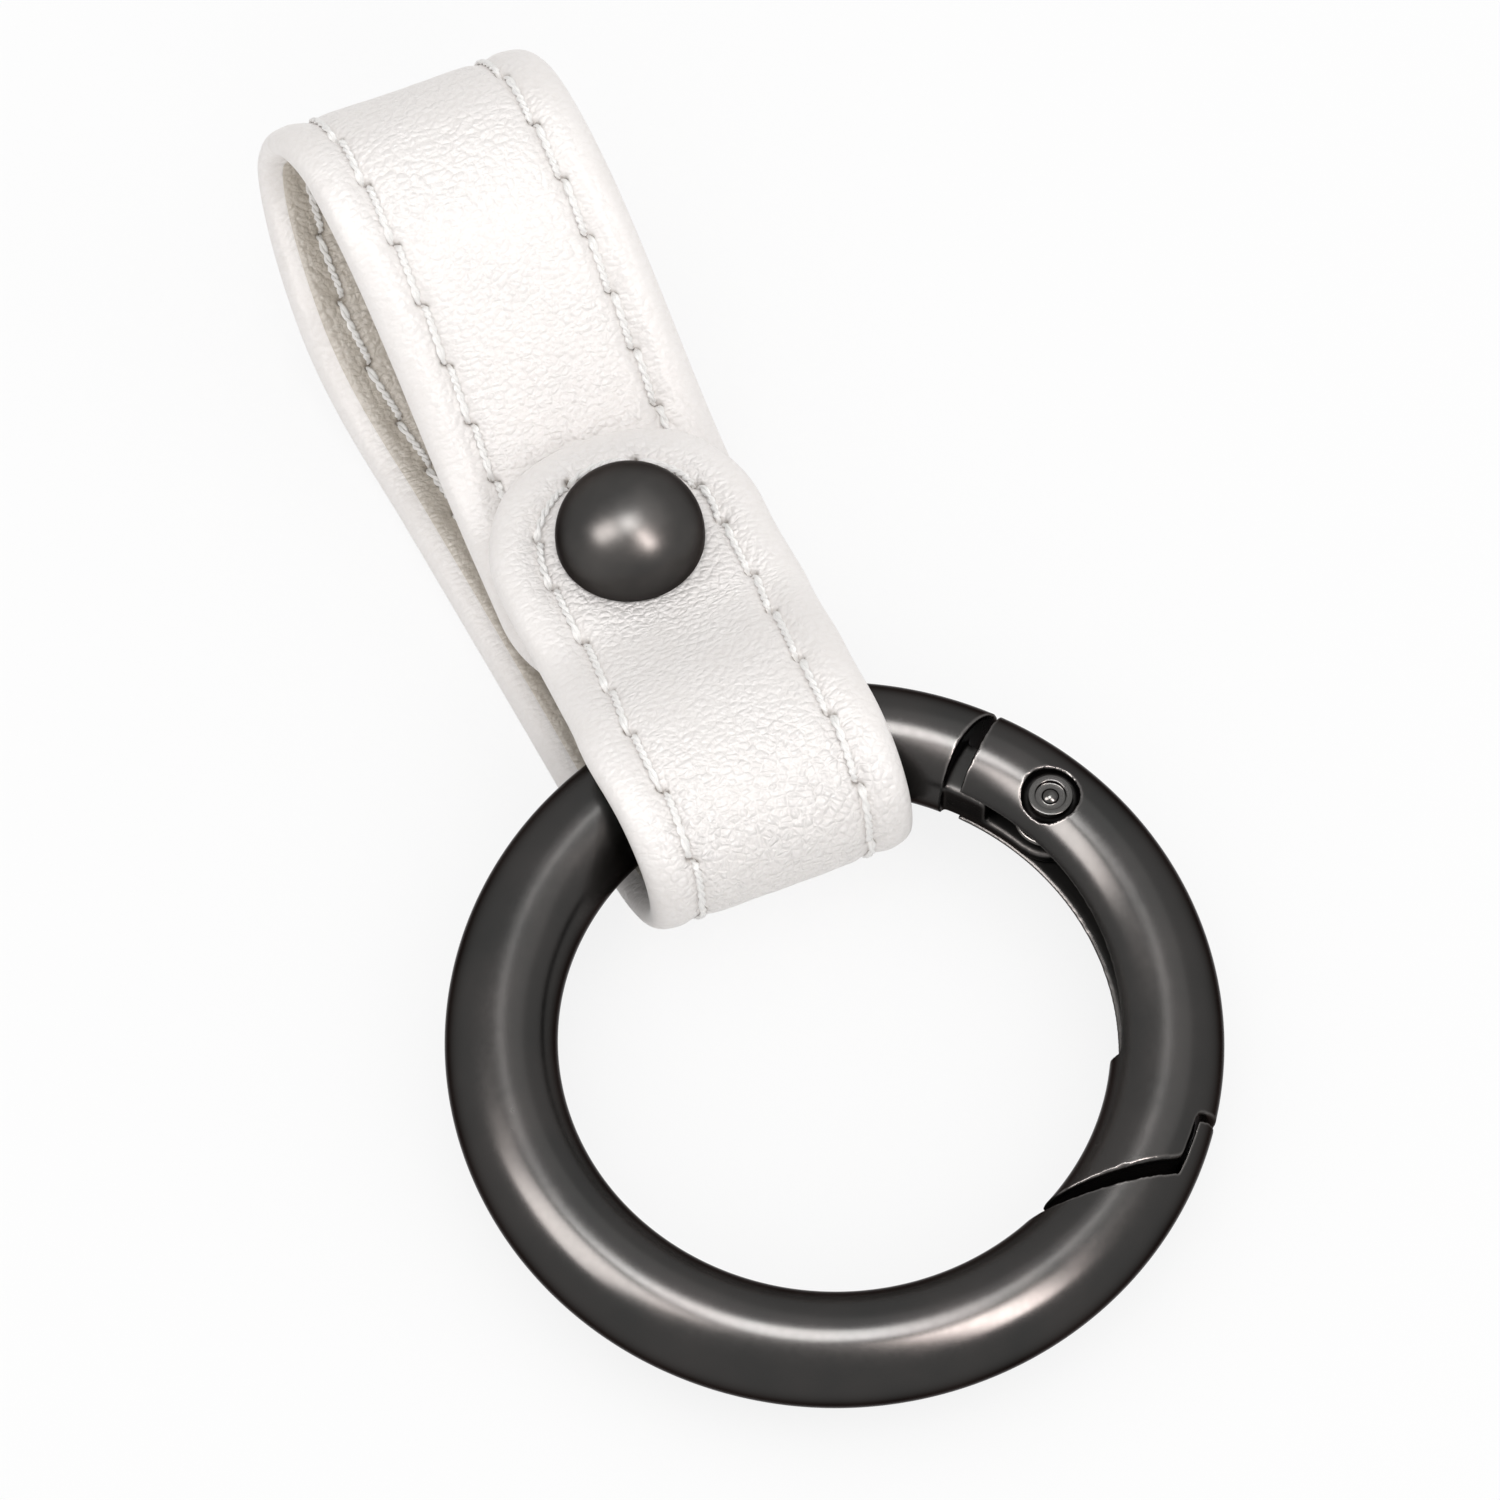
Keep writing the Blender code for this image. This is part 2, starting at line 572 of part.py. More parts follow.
def ring_gate(pin):
    """The sprung gate: a channel from the hinge on, and a solid nose that shuts under the lip."""
    far = RING_RADIUS + TUBE_RADIUS + CUTTER_OVERRUN
    line, lip_radius = -NOSE_LINE + NOSE_GAP / 2, far - CUTTER_OVERRUN - LIP_THICKNESS - LIP_GAP
    end = math.acos(line / (RING_RADIUS - TUBE_RADIUS)) + NOSE_TILT + ARC_STEP
    node = tube_arc("ring_gate", GATE_START, end, GUNMETAL)
    outline = nose_cut(line, lip_radius, LIP_LENGTH - NOSE_LINE + NOSE_GAP / 2, -far)
    apply_boolean(node, prism("gate_nose_cutter", outline, -far, far), "DIFFERENCE")
    web = RING_RADIUS + CHANNEL_DEPTH
    clear = RING_RADIUS - TUBE_RADIUS - CUTTER_OVERRUN
    before = GATE_START - CUTTER_OVERRUN / RING_RADIUS
    slot = [*arc(web, before, CHANNEL_END), *arc(clear, CHANNEL_END, before)]
    cutter = prism("channel_cutter", slot, -CHANNEL_HALF, CHANNEL_HALF)
    apply_boolean(node, cutter, "DIFFERENCE")
    bore = disc(pin.x, pin.y, PIN_RADIUS + PIN_CLEARANCE)
    apply_boolean(node, prism("gate_bore", bore, -far, far), "DIFFERENCE")
    counterbore = disc(pin.x, pin.y, COUNTERBORE_RADIUS)
    seat = TUBE_RADIUS - COUNTERBORE_DEPTH
    apply_boolean(node, prism("front_counterbore", counterbore, seat, far), "DIFFERENCE")
    apply_boolean(node, prism("back_counterbore", counterbore, -far, -seat), "DIFFERENCE")
    return node


def gate_pin():
    """The rivet that the gate turns on, with a hollow head round a small dome sunk in each counterbore."""
    seat = TUBE_RADIUS - COUNTERBORE_DEPTH + PIN_CLEARANCE
    top = seat + RIVET_HEAD
    floor = top - RIVET_DOME_HEIGHT
    shoulder = math.cos(QUARTER / 2)
    half = [
        (PIN_RADIUS, seat), (RIVET_RADIUS, seat), (RIVET_RADIUS, top - RIVET_EDGE),
        (RIVET_RADIUS - RIVET_EDGE, top), (PIN_RADIUS, top), (PIN_RADIUS, floor),
        (RIVET_DOME, floor), (RIVET_DOME * shoulder, floor + RIVET_DOME_HEIGHT * shoulder), (0, top),
    ]
    profile = [(r, -z) for r, z in reversed(half)] + half
    return object_from("gate_pin", lathe_mesh("gate_pin", profile, False), GUNMETAL)


def gate_spring(pin):
    """The torsion spring beside the tongue: turns round the pin, and a leg along the gate."""
    low = CHANNEL_CLEARANCE - CHANNEL_HALF + TONGUE_THICKNESS + CHANNEL_CLEARANCE + SPRING_WIRE
    high = CHANNEL_HALF - CHANNEL_CLEARANCE - SPRING_WIRE
    outward = pin.xy.normalized()
    along_gate = Vector((outward.y, -outward.x))
    steps = round(SPRING_TURNS * CURL_STEPS)
    points = []
    for i in range(steps + 1):
        turn = FULL_TURN * SPRING_TURNS * i / steps
        way = outward * math.cos(turn) - along_gate * math.sin(turn)
        place = pin.xy + SPRING_RADIUS * way
        points.append(Vector((*place, low + (high - low) * i / steps)))
    leg = points[0].xy + along_gate * GATE_LEG - outward * GATE_LEG * GATE_LEG / (2 * RING_RADIUS)
    points.insert(0, Vector((*leg, low)))
    gap = least_gap(points[1:], SPRING_WIRE, CURL_STEPS // 2)
    wanted = LEAST_SPRING_GAP / MM
    print(f"gate_spring: least gap between turns {gap / MM:.2f} mm, wanted over {wanted:.2f} mm")
    return object_from("gate_spring", tube_mesh("gate_spring", points, SPRING_WIRE, WIRE_SIDES), STEEL)


def least_gap(path, radius, apart):
    """The least gap that a wound tube leaves to itself, between points at least apart steps along it."""
    pairs = ((a, b) for i, a in enumerate(path) for b in path[i + apart :])
    return min((a - b).length for a, b in pairs) - 2 * radius


def press_stud():
    """The cap and socket on the tab, and the stud and post on the strap's other end."""
    place = Vector((SNAP_SIDE, SNAP_DISTANCE, 0))
    tab_top = TAB_MIDDLE + HALF_THICKNESS
    tab_bottom = TAB_MIDDLE - HALF_THICKNESS
    socket_top = tab_bottom - SNAP_CLEARANCE
    socket_bottom = socket_top - SOCKET_HEIGHT
    cavity_top = socket_top - SOCKET_PLATE
    flange_bottom = FRONT_TOP + SNAP_CLEARANCE
    flange_top = flange_bottom + STUD_FLANGE
    knob_top = flange_top + KNOB_HEIGHT
    cap_bottom = tab_top + SNAP_CLEARANCE
    shank_bottom = cavity_top - SNAP_CLEARANCE - CAP_FLARE
    flare = SHANK_RADIUS + 2 * HOLE_CLEARANCE
    shank_hole = SHANK_RADIUS + HOLE_CLEARANCE
    cap = [(0, shank_bottom), (flare, shank_bottom), (flare, cavity_top - SNAP_CLEARANCE)]
    cap += [(SHANK_RADIUS, cavity_top - SNAP_CLEARANCE), (SHANK_RADIUS, cap_bottom)]
    cap += [(CAP_RADIUS - CAP_SKIRT / 2, cap_bottom), (CAP_RADIUS, cap_bottom + CAP_SKIRT / 2)]
    dome = CAP_HEIGHT - CAP_SKIRT
    for step in range(DOME_STEPS + 1):
        turn = QUARTER * step / DOME_STEPS
        cap.append((CAP_RADIUS * math.cos(turn), cap_bottom + CAP_SKIRT + dome * math.sin(turn)))
    socket = [
        (shank_hole, socket_top), (SOCKET_RADIUS - SOCKET_PLATE, socket_top),
        (SOCKET_RADIUS, cavity_top), (SOCKET_RADIUS, socket_bottom),
        (SOCKET_BORE, socket_bottom), (SOCKET_BORE, cavity_top), (shank_hole, cavity_top),
    ]
    post_hole = KNOB_RADIUS - KNOB_WALL
    stud = [
        (0, knob_top - KNOB_WALL), (post_hole, knob_top - KNOB_WALL), (post_hole, flange_bottom),
        (STUD_RADIUS, flange_bottom), (STUD_RADIUS, flange_top), (KNOB_RADIUS, flange_top),
        (KNOB_RADIUS, knob_top), (0, knob_top),
    ]
    head_top = FRONT_MIDDLE - HALF_THICKNESS - SNAP_CLEARANCE
    post_radius = post_hole - HOLE_CLEARANCE
    post = [
        (0, head_top - POST_HEAD_HEIGHT), (POST_HEAD_RADIUS - HOLE_CLEARANCE, head_top - POST_HEAD_HEIGHT),
        (POST_HEAD_RADIUS, head_top - POST_HEAD_HEIGHT / 2), (POST_HEAD_RADIUS, head_top),
        (post_radius, head_top), (post_radius, flange_top + POST_RISE), (0, flange_top + POST_RISE),
    ]
    made = []
    for name, profile, closed, finish in (
        ("snap_cap", cap, False, GUNMETAL),
        ("snap_socket", socket, True, GUNMETAL),
        ("snap_stud", stud, False, GUNMETAL),
        ("snap_post", post, False, GUNMETAL),
    ):
        node = object_from(name, lathe_mesh(name, profile, closed), finish)
        node.location = place
        made.append(node)
    wire = (KNOB_RADIUS + SOCKET_BORE) / 2
    ring = []
    for i in range(SPLIT_RING_STEPS + 1):
        turn = RING_SPRING_GAP + (FULL_TURN - 2 * RING_SPRING_GAP) * i / SPLIT_RING_STEPS
        ring.append(Vector((wire * math.cos(turn), wire * math.sin(turn), (flange_top + knob_top) / 2)))
    mesh = tube_mesh("snap_ring_spring", ring, RING_SPRING_WIRE, WIRE_SIDES)
    split = object_from("snap_ring_spring", mesh, STEEL)
    split.location = place
    return made + [split]


def clear_scene():
    for old in list(bpy.data.objects):
        bpy.data.objects.remove(old)


def empty(name, place, parent):
    """A frame for pieces that move together, on the axis that they turn on."""
    frame = bpy.data.objects.new(name, None)
    bpy.context.collection.objects.link(frame)
    frame.parent = parent
    frame.matrix_local = place
    return frame


def hang(nodes, frame, place):
    """Puts nodes under a frame without moving them in the space that the frame stands in."""
    for node in nodes:
        node.parent = frame
        node.matrix_local = place.inverted() @ node.matrix_local


def strap_layers(route, prefix, start, snap, direction):
    """The layers and the stitches of the strap, or of its tab, with the hole that the press stud needs."""
    made = [
        strap_piece(f"{prefix}_skin", route, skin_section(), start, snap, direction, LEATHER),
        strap_piece(f"{prefix}_lining", route, lining_section(), start, snap, direction, LINING),
    ]
    hole = disc(SNAP_SIDE, SNAP_DISTANCE, SHANK_RADIUS + HOLE_CLEARANCE)
    middle = TAB_MIDDLE if direction < 0 else FRONT_MIDDLE
    for node in made:
        cutter = prism(f"{prefix}_hole", hole, middle - THICKNESS, middle + THICKNESS)
        apply_boolean(node, cutter, "DIFFERENCE")
    made.append(thread(f"{prefix}_thread", route, start, snap, direction, 1))
    made.append(thread(f"{prefix}_lining_thread", route, start, snap, direction, -1))
    return made


def main():
    clear_scene()
    route = strap_route()
    split = route.marks[3]
    snap_tab = (route.marks[1] + route.marks[2]) / 2
    tab = strap_layers(route, "tab", split - TAB_CUT_GAP / 2, snap_tab, -1)
    strap = strap_layers(route, "strap", split + TAB_CUT_GAP / 2, route.marks[-2] + SEAM_EDGE, 1)
    cap, socket, stud, post, split_ring = press_stud()
    bpy.context.view_layer.update()
    root_place = Matrix.Translation((0, ORIGIN_SHIFT, 0))
    root = empty("strap_frame", root_place, None)
    tab_place = Matrix.Translation(route.place(split, 0, HALF_THICKNESS))
    tab_frame = empty("tab_open", tab_place, root)
    hang([*strap, stud, post], root, Matrix())
    hang([*tab, cap, socket, split_ring], tab_frame, tab_place)
    pin_place = Vector((*polar(RING_RADIUS - PIN_OFFSET, PIN_ANGLE), 0))
    body, gate, pin, spring = ring_body(pin_place), ring_gate(pin_place), gate_pin(), gate_spring(pin_place)
    pin.location = pin_place
    bpy.context.view_layer.update()
    ring_place = Matrix.Translation((0, 0, RING_CENTRE_HEIGHT)) @ Matrix.Rotation(RING_TILT, 4, "X")
    swing = Matrix.Translation((*polar(RING_RADIUS, SWING_ANGLE), 0)) @ Matrix.Rotation(-SWING_ANGLE, 4, "Z")
    ring_frame = empty("ring_swing", ring_place @ swing, root)
    hang([body, pin], ring_frame, swing)
    gate_frame = empty("gate_open", swing.inverted() @ Matrix.Translation(pin_place), ring_frame)
    hang([gate, spring], gate_frame, Matrix.Translation(pin_place))
    bpy.context.view_layer.update()
    for frame in (tab_frame, ring_frame, gate_frame):
        place = frame.matrix_world
        axis = [round(v, 5) for v in place.col[0][:3]]
        print(frame.name, [round(v / MM, 3) for v in place.translation], axis)


main()
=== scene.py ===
"""Looks of the keychain: sewn leather, twisted thread and satin gunmetal, with its light and camera."""

import math

import bmesh
import bpy
import numpy as np
from mathutils import Matrix, Vector, noise

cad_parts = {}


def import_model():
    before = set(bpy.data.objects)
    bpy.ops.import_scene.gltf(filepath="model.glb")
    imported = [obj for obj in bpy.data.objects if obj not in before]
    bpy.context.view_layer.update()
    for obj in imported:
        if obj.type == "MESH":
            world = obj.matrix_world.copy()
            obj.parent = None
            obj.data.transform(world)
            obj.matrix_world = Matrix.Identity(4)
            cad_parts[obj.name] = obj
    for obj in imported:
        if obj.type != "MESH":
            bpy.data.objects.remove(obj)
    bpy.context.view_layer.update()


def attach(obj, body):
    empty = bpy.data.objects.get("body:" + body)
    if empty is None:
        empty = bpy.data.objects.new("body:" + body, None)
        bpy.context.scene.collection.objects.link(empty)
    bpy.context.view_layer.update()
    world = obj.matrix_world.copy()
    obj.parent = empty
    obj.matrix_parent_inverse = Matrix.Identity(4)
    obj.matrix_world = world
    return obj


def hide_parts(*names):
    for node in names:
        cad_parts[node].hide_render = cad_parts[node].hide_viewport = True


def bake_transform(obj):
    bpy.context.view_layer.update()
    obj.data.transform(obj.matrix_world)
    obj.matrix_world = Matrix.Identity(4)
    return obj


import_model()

MM = 0.001

# The folded strap, as part.py lays it: side, along, height, heading and width share at each knot
KNOTS = (
    (0.400, 19.112, 6.940, 2.8274, 1.0),
    (0.400, 15.812, 7.940, 3.1416, 1.0),
    (0.400, 5.512, 7.940, 3.1416, 1.0),
    (0.960, -1.164, 9.700, 2.8798, 1.0),
    (1.200, -11.164, 5.400, 4.7124, 0.965),
    (0.720, -5.264, 0.900, 6.2832, 1.0),
    (-2.220, 23.236, 0.900, 6.2832, 1.0),
    (-3.700, 35.162, 4.235, 6.8068, 1.0),
    (-2.590, 43.562, 9.860, 7.8540, 1.0),
    (-1.110, 38.062, 14.500, 9.4248, 1.0),
    (0.400, 15.812, 4.260, 9.4248, 1.0),
    (0.400, 2.212, 4.260, 9.4248, 1.0),
)
KNOT_SAMPLES = 80

# The strap's section in mm, from its middle: the turned edge is the inner end of the skin's fold
HALF_WIDTH, HALF_THICKNESS = 8.45, 0.9
SKIN_FLOOR, LINING_TOP = -0.3, -0.35
TURNED_EDGE, LINING_EDGE, EDGE_ROUND = 7.05, 7.1, 1.2
SEAM_INSET = 3.0
SEAM = HALF_WIDTH - SEAM_INSET
FLOOR_GAP, THREAD_FLOOR_GAP = 0.004, 0.002

# Places along the strap: both halves of the press stud, and the join of tab and strap
TAB_SNAP, FRONT_SNAP, JOIN = 8.616, 131.82, 41.58
STATION, END_STATIONS = 0.14, 110

# How far the tab is drawn sideways below its cap: (how far, distance along, reach)
DRAWN = ((0.38, 14.6, 3.0), (-0.24, 22.5, 3.0))

# The strap's turns: (how sharp, distance along, reach)
TURNS = ((1.0, 31.5, 6.5), (0.45, 94.0, 8.0))

# The creases in the turns: (share, fineness along, fineness across, seed), and those round the cap
CREASE_RISE = 0.045
CREASES = ((1.0, 1.9, 0.6, 9.0), (0.5, 3.7, 1.3, 2.0))
CAP_CREASE_RADIUS, CAP_CREASE_REACH, CAP_CREASE_SHARE, CAP_CREASE_END = 5.2, 2.4, 0.5, 20

# Relief of the sewn faces: the seam's valley, the rim outside it, its bead and the padded middle
OUTER_SEAM_DEPTH, INNER_SEAM_DEPTH, SEAM_REACH = 0.17, 0.14, 0.5
RIM_RISE, RIM_REACH = 0.11, 1.1
BEAD_RISE, BEAD_INSET, BEAD_REACH = 0.09, 1.7, 0.5
PADDING_RISE, PADDING_SCALE, PADDING_SEED = 0.035, 3.1, 4.0

# Stitch holes: slanted slits with dark ends, in leather that the thread pulls in; the dark round each hole
# is painted shade
OUTER_HOLE_DEPTH, INNER_HOLE_DEPTH = 0.5, 0.4
PULL_DEPTH, PULL_LENGTH, PULL_WIDTH = 0.08, 0.8, 0.7
SLIT_LENGTH, SLIT_WIDTH = 0.32, 0.16
SLIT_SHADE, SLIT_SHADE_LENGTH, SLIT_SHADE_WIDTH = 0.25, 0.36, 0.19
END_SHADE, END_SHADE_SPOT, END_SHADE_LENGTH, END_SHADE_WIDTH = 1.1, 0.31, 0.14, 0.15

# The layout map's unit in mm, and how far in from the rim the grain sets in
FLAT_UNIT = 10
GRAIN_FROM, GRAIN_FADE = 0.8, 1.8

# Stitch holes: (number of the hole, distance along the strap) at a few places of each row
RIGHT_ROW = ((-1, 5.4), (0, 9.4), (5, 29.5), (24, 100.0), (30, 121.8), (34, 136.4))
LEFT_ROW = ((-1, 5.7), (0, 9.8), (5, 30.2), (23, 98.9), (29, 122.6), (33, 137.6))
END_STITCHES = 4


def swell(value, middle, reach):
    """A smooth swelling of height one about a middle."""
    return np.exp(-(((value - middle) / reach) ** 2))


def strap_line():
    """Close points along the strap, with its widths, lengths and directions."""
    knots = np.array(KNOTS)
    places, widths = [], []

    def drift(j):
        if j in (0, len(knots) - 1) or knots[j, 0] in (knots[j - 1, 0], knots[j + 1, 0]):
            return 0.0
        near, far = knots[j] - knots[j - 1], knots[j + 1] - knots[j]
        return (knots[j + 1, 0] - knots[j - 1, 0]) / (np.linalg.norm(near[1:3]) + np.linalg.norm(far[1:3]))

    for i in range(len(knots) - 1):
        a, b = knots[i], knots[i + 1]
        chord = np.linalg.norm(b[1:3] - a[1:3])
        pull = chord / math.cos((b[3] - a[3]) / 4) ** 2
        start = np.array([chord * drift(i), pull * math.cos(a[3]), pull * math.sin(a[3])])
        end = np.array([chord * drift(i + 1), pull * math.cos(b[3]), pull * math.sin(b[3])])
        t = np.arange(0 if i == 0 else 1, KNOT_SAMPLES + 1)[:, None] / KNOT_SAMPLES
        ease = t * t * (3 - 2 * t)
        places.append((1 - ease) * a[:3] + t * (1 - t) ** 2 * start + ease * b[:3] + t * t * (t - 1) * end)
        widths.append((a[4] + (b[4] - a[4]) * ease)[:, 0])
    places, widths = np.vstack(places), np.hstack(widths)
    steps = np.linalg.norm(np.diff(places, axis=0), axis=1)
    ways = np.gradient(places, axis=0)
    return places, widths, np.r_[0, np.cumsum(steps)], ways / np.linalg.norm(ways, axis=1)[:, None]


PLACES, WIDTHS, LENGTHS, WAYS = strap_line()


def place(distance, across, out):
    """Points of the strap: along its length, across its width, and out from its middle layer, in mm."""
    distance, across, out = np.broadcast_arrays(np.asarray(distance, float), across, out)
    middle = np.stack([np.interp(distance, LENGTHS, PLACES[:, k]) for k in range(3)], -1)
    way = np.stack([np.interp(distance, LENGTHS, WAYS[:, k]) for k in range(3)], -1)
    way /= np.linalg.norm(way, axis=-1)[..., None]
    middle = middle + (distance - np.clip(distance, 0, LENGTHS[-1]))[..., None] * way
    side = np.array([1.0, 0, 0]) - way[..., :1] * way
    side /= np.linalg.norm(side, axis=-1)[..., None]
    spread = across * np.interp(distance, LENGTHS, WIDTHS)
    spread = spread + sum(far * swell(distance, spot, reach) for far, spot, reach in DRAWN)
    return middle + spread[..., None] * side + out[..., None] * np.cross(way, side)


def seam_holes():
    """Every stitch hole in order round the strap's edge: (distance, across)."""
    rows = []
    for anchors, side in ((RIGHT_ROW, 1), (LEFT_ROW, -1)):
        numbers = np.arange(anchors[0][0] + 1, anchors[-1][0])
        spots = np.interp(numbers, [a[0] for a in anchors], [a[1] for a in anchors])
        spots = [s for s in spots if TAB_SNAP <= s <= FRONT_SNAP]
        rows.append([(s, side * SEAM) for s in spots])
    right, left = rows

    def end(snap, direction):
        turns = [math.pi * (i + 0.5) / END_STITCHES for i in range(END_STITCHES)]
        return [(snap + direction * SEAM * math.sin(t), SEAM * math.cos(t)) for t in turns]

    return [*right, *end(FRONT_SNAP, 1), *reversed(left), *reversed(end(TAB_SNAP, -1))]


HOLES = seam_holes()
HOLE_PLACES = np.array(HOLES)


def inset(distance, across):
    """How far a point of the flat strap lies in from its outline."""
    beyond = np.maximum(np.maximum(TAB_SNAP - distance, distance - FRONT_SNAP), 0)
    return HALF_WIDTH - np.hypot(beyond, across)


def along_and_out(distance, across, hole):
    """A point seen from a hole: how far along the seam, and how far towards the strap's edge."""
    s, u = HOLE_PLACES[hole, 0], HOLE_PLACES[hole, 1]
    beyond = s - np.clip(s, TAB_SNAP, FRONT_SNAP)
    reach = np.hypot(beyond, u)
    out_s, out_u = beyond / reach, u / reach
    ds, du = distance - s, across - u
    return ds * out_u - du * out_s, ds * out_s + du * out_u


def nearest_hole(distance, across):
    """The number of the hole nearest to each point, found some thousands of points at a time."""
    batch = 4000
    flat = np.stack([distance.ravel(), across.ravel()], 1)
    found = np.empty(len(flat), int)
    for start in range(0, len(flat), batch):
        part = flat[start : start + batch]
        gaps = (part[:, None, :] - HOLE_PLACES[None]) ** 2
        found[start : start + batch] = gaps.sum(-1).argmin(1)
    return found.reshape(distance.shape)


def waves(distance, across, scale, seed):
    """Smooth noise over the flat strap, from about -1 to 1."""
    out = np.empty(distance.size)
    for i, (s, u) in enumerate(zip(distance.ravel(), across.ravel())):
        out[i] = noise.noise(Vector((s / scale, u / scale, seed)))
    return out.reshape(distance.shape)


def tightness(distance):
    """How sharply the strap bends there, from 0 to 1, which is where its face creases."""
    return sum(share * swell(distance, middle, reach) for share, middle, reach in TURNS)


def slanted(along, out):
    """The same place seen along a slanted slit, and across it."""
    return (along + out) * math.sqrt(0.5), (along - out) * math.sqrt(0.5)


def relief(distance, across, depth, hole_depth):
    """Height of the sewn face over its flat layer: padded middle, drawn in seam and stitch holes."""
    edge = inset(distance, across)
    hole = nearest_hole(distance, across)
    along, out = along_and_out(distance, across, hole)
    height = -depth * swell(edge, SEAM_INSET, SEAM_REACH)
    height += RIM_RISE * (1 - swell(np.maximum(edge - SEAM_INSET, 0), 0, RIM_REACH))
    height += BEAD_RISE * swell(edge, BEAD_INSET, BEAD_REACH)
    height -= PULL_DEPTH * swell(along, 0, PULL_LENGTH) * swell(out, 0, PULL_WIDTH)
    long, short = slanted(along, out)
    height -= hole_depth * np.exp(-((long / SLIT_LENGTH) ** 4)) * swell(short, 0, SLIT_WIDTH)
    height += PADDING_RISE * waves(distance, across, PADDING_SCALE, PADDING_SEED)
    crease = 0.0
    for share, fine_along, fine_across, seed in CREASES:
        crease = crease + share * waves(distance * fine_along, across * fine_across, 1.0, seed)
    return height + CREASE_RISE * tightness(distance) * crease


def hole_shade(distance, across):
    """Painted shade round a stitch hole: along the slit, and most of all at its two ends."""
    along, out = along_and_out(distance, across, nearest_hole(distance, across))
    long, short = slanted(along, out)
    slit = SLIT_SHADE * np.exp(-((long / SLIT_SHADE_LENGTH) ** 4)) * swell(short, 0, SLIT_SHADE_WIDTH)
    ends = swell(np.abs(long), END_SHADE_SPOT, END_SHADE_LENGTH) * swell(short, 0, END_SHADE_WIDTH)
    return np.clip(slit + END_SHADE * ends, 0, 1)


# Sections of the two layers: how closely their points lie, and their soft corners as (aside, up)
MIDDLE_STEP, SEAM_STEP, RIM_STEP = 0.34, 0.1, 0.2
SEAM_BEFORE, SEAM_AFTER = 1.0, 0.9
ROUND_STEPS = 16
TURNED_CORNER = ((0.12, 0.0), (0.03, 0.01), (0.0, 0.05))
LINING_CORNER = ((0.0, 0.05), (0.01, 0.015), (0.04, 0.0))
LINING_SIDE = 0.16


def face_spots():
    """Places across half of a face, closest round the seam."""
    middle = np.arange(0, SEAM - SEAM_BEFORE, MIDDLE_STEP)
    seam = np.arange(SEAM - SEAM_BEFORE, SEAM + SEAM_AFTER, SEAM_STEP)
    rim = np.arange(SEAM + SEAM_AFTER, HALF_WIDTH - EDGE_ROUND, RIM_STEP)
    return np.r_[middle, seam, rim]


def skin_half():
    """Half of the outer skin's section: (across, out, share of outer relief, share of inner relief)."""
    rim = HALF_WIDTH - EDGE_ROUND
    points = [(u, HALF_THICKNESS, 1, 0) for u in face_spots()]
    for step in range(ROUND_STEPS + 1):
        turn = math.pi * step / ROUND_STEPS
        fade = max(math.cos(turn), 0) ** 2
        back = max(-math.cos(turn), 0) ** 2
        points.append((rim + EDGE_ROUND * math.sin(turn), HALF_THICKNESS * math.cos(turn), fade, back))
    under = np.linspace(rim, TURNED_EDGE + TURNED_CORNER[0][0], 4)[1:]
    points += [(u, -HALF_THICKNESS, 0, 1) for u in under]
    points += [(TURNED_EDGE + aside, up - HALF_THICKNESS, 0, 1) for aside, up in TURNED_CORNER[1:]]
    return points + [(TURNED_EDGE, SKIN_FLOOR, 0, 0), (SEAM, SKIN_FLOOR, 0, 0), (0, SKIN_FLOOR, 0, 0)]


def lining_half():
    """Half of the lining's section, from the middle of its hidden face round to its shown one."""
    spots = [u for u in reversed(face_spots()) if u < LINING_EDGE - LINING_SIDE]
    points = [(0, LINING_TOP, 0, 0), (SEAM, LINING_TOP, 0, 0), (LINING_EDGE, LINING_TOP, 0, 0)]
    points += [(LINING_EDGE - aside, up - HALF_THICKNESS, 0, 1) for aside, up in LINING_CORNER]
    return points + [(u, -HALF_THICKNESS, 0, 1) for u in spots]


def leather_piece(name, half, start, snap):
    """A layer of the strap from a square cut at start to its round end about snap, with its sewn relief."""
    direction = 1 if snap > start else -1
    half = np.array(half, float)
    whole = np.vstack([half[::-1] * (-1, 1, 1, 1), half])
    count = max(2, round(abs(snap - start) / STATION))
    stations = np.linspace(start, snap, count + 1)
    distance = np.repeat(stations[:, None], len(whole), 1)
    across = np.repeat(whole[None, :, 0], len(stations), 0)
    straight = (distance, across, whole)
    turn = np.linspace(0, math.pi, END_STATIONS + 1)[:, None]
    bend = (snap + direction * half[None, :, 0] * np.sin(turn), half[None, :, 0] * np.cos(turn), half)
    points, flats, faces, dark = [], [], [], []
    first = 0
    for distance, across, section in (straight, bend):
        out = np.repeat(section[None, :, 1], len(distance), 0)
        outer = relief(distance, across, OUTER_SEAM_DEPTH, OUTER_HOLE_DEPTH)
        inner = relief(distance, across, INNER_SEAM_DEPTH, INNER_HOLE_DEPTH)
        out = out + section[None, :, 2] * outer - section[None, :, 3] * inner
        points.append(place(distance, across, out).reshape(-1, 3))
        flats.append(np.stack([distance, across], -1).reshape(-1, 2))
        dark.append((hole_shade(distance, across) * (section[None, :, 2] + section[None, :, 3])).ravel())
        rows, width = distance.shape
        closed = section is whole
        columns = np.arange(width if closed else width - 1)
        for r in range(rows - 1):
            here, there = first + r * width, first + (r + 1) * width
            nxt = (columns + 1) % width
            faces.append(np.stack([here + columns, here + nxt, there + nxt, there + columns], 1))
        if closed:
            cap = [first + k for k in range(width)]
        first += rows * width
    points, flats = np.vstack(points), np.vstack(flats)
    points[:, 2] = np.maximum(points[:, 2], FLOOR_GAP)
    return finish_mesh(name, points, [*np.vstack(faces).tolist(), cap], flats, np.hstack(dark))


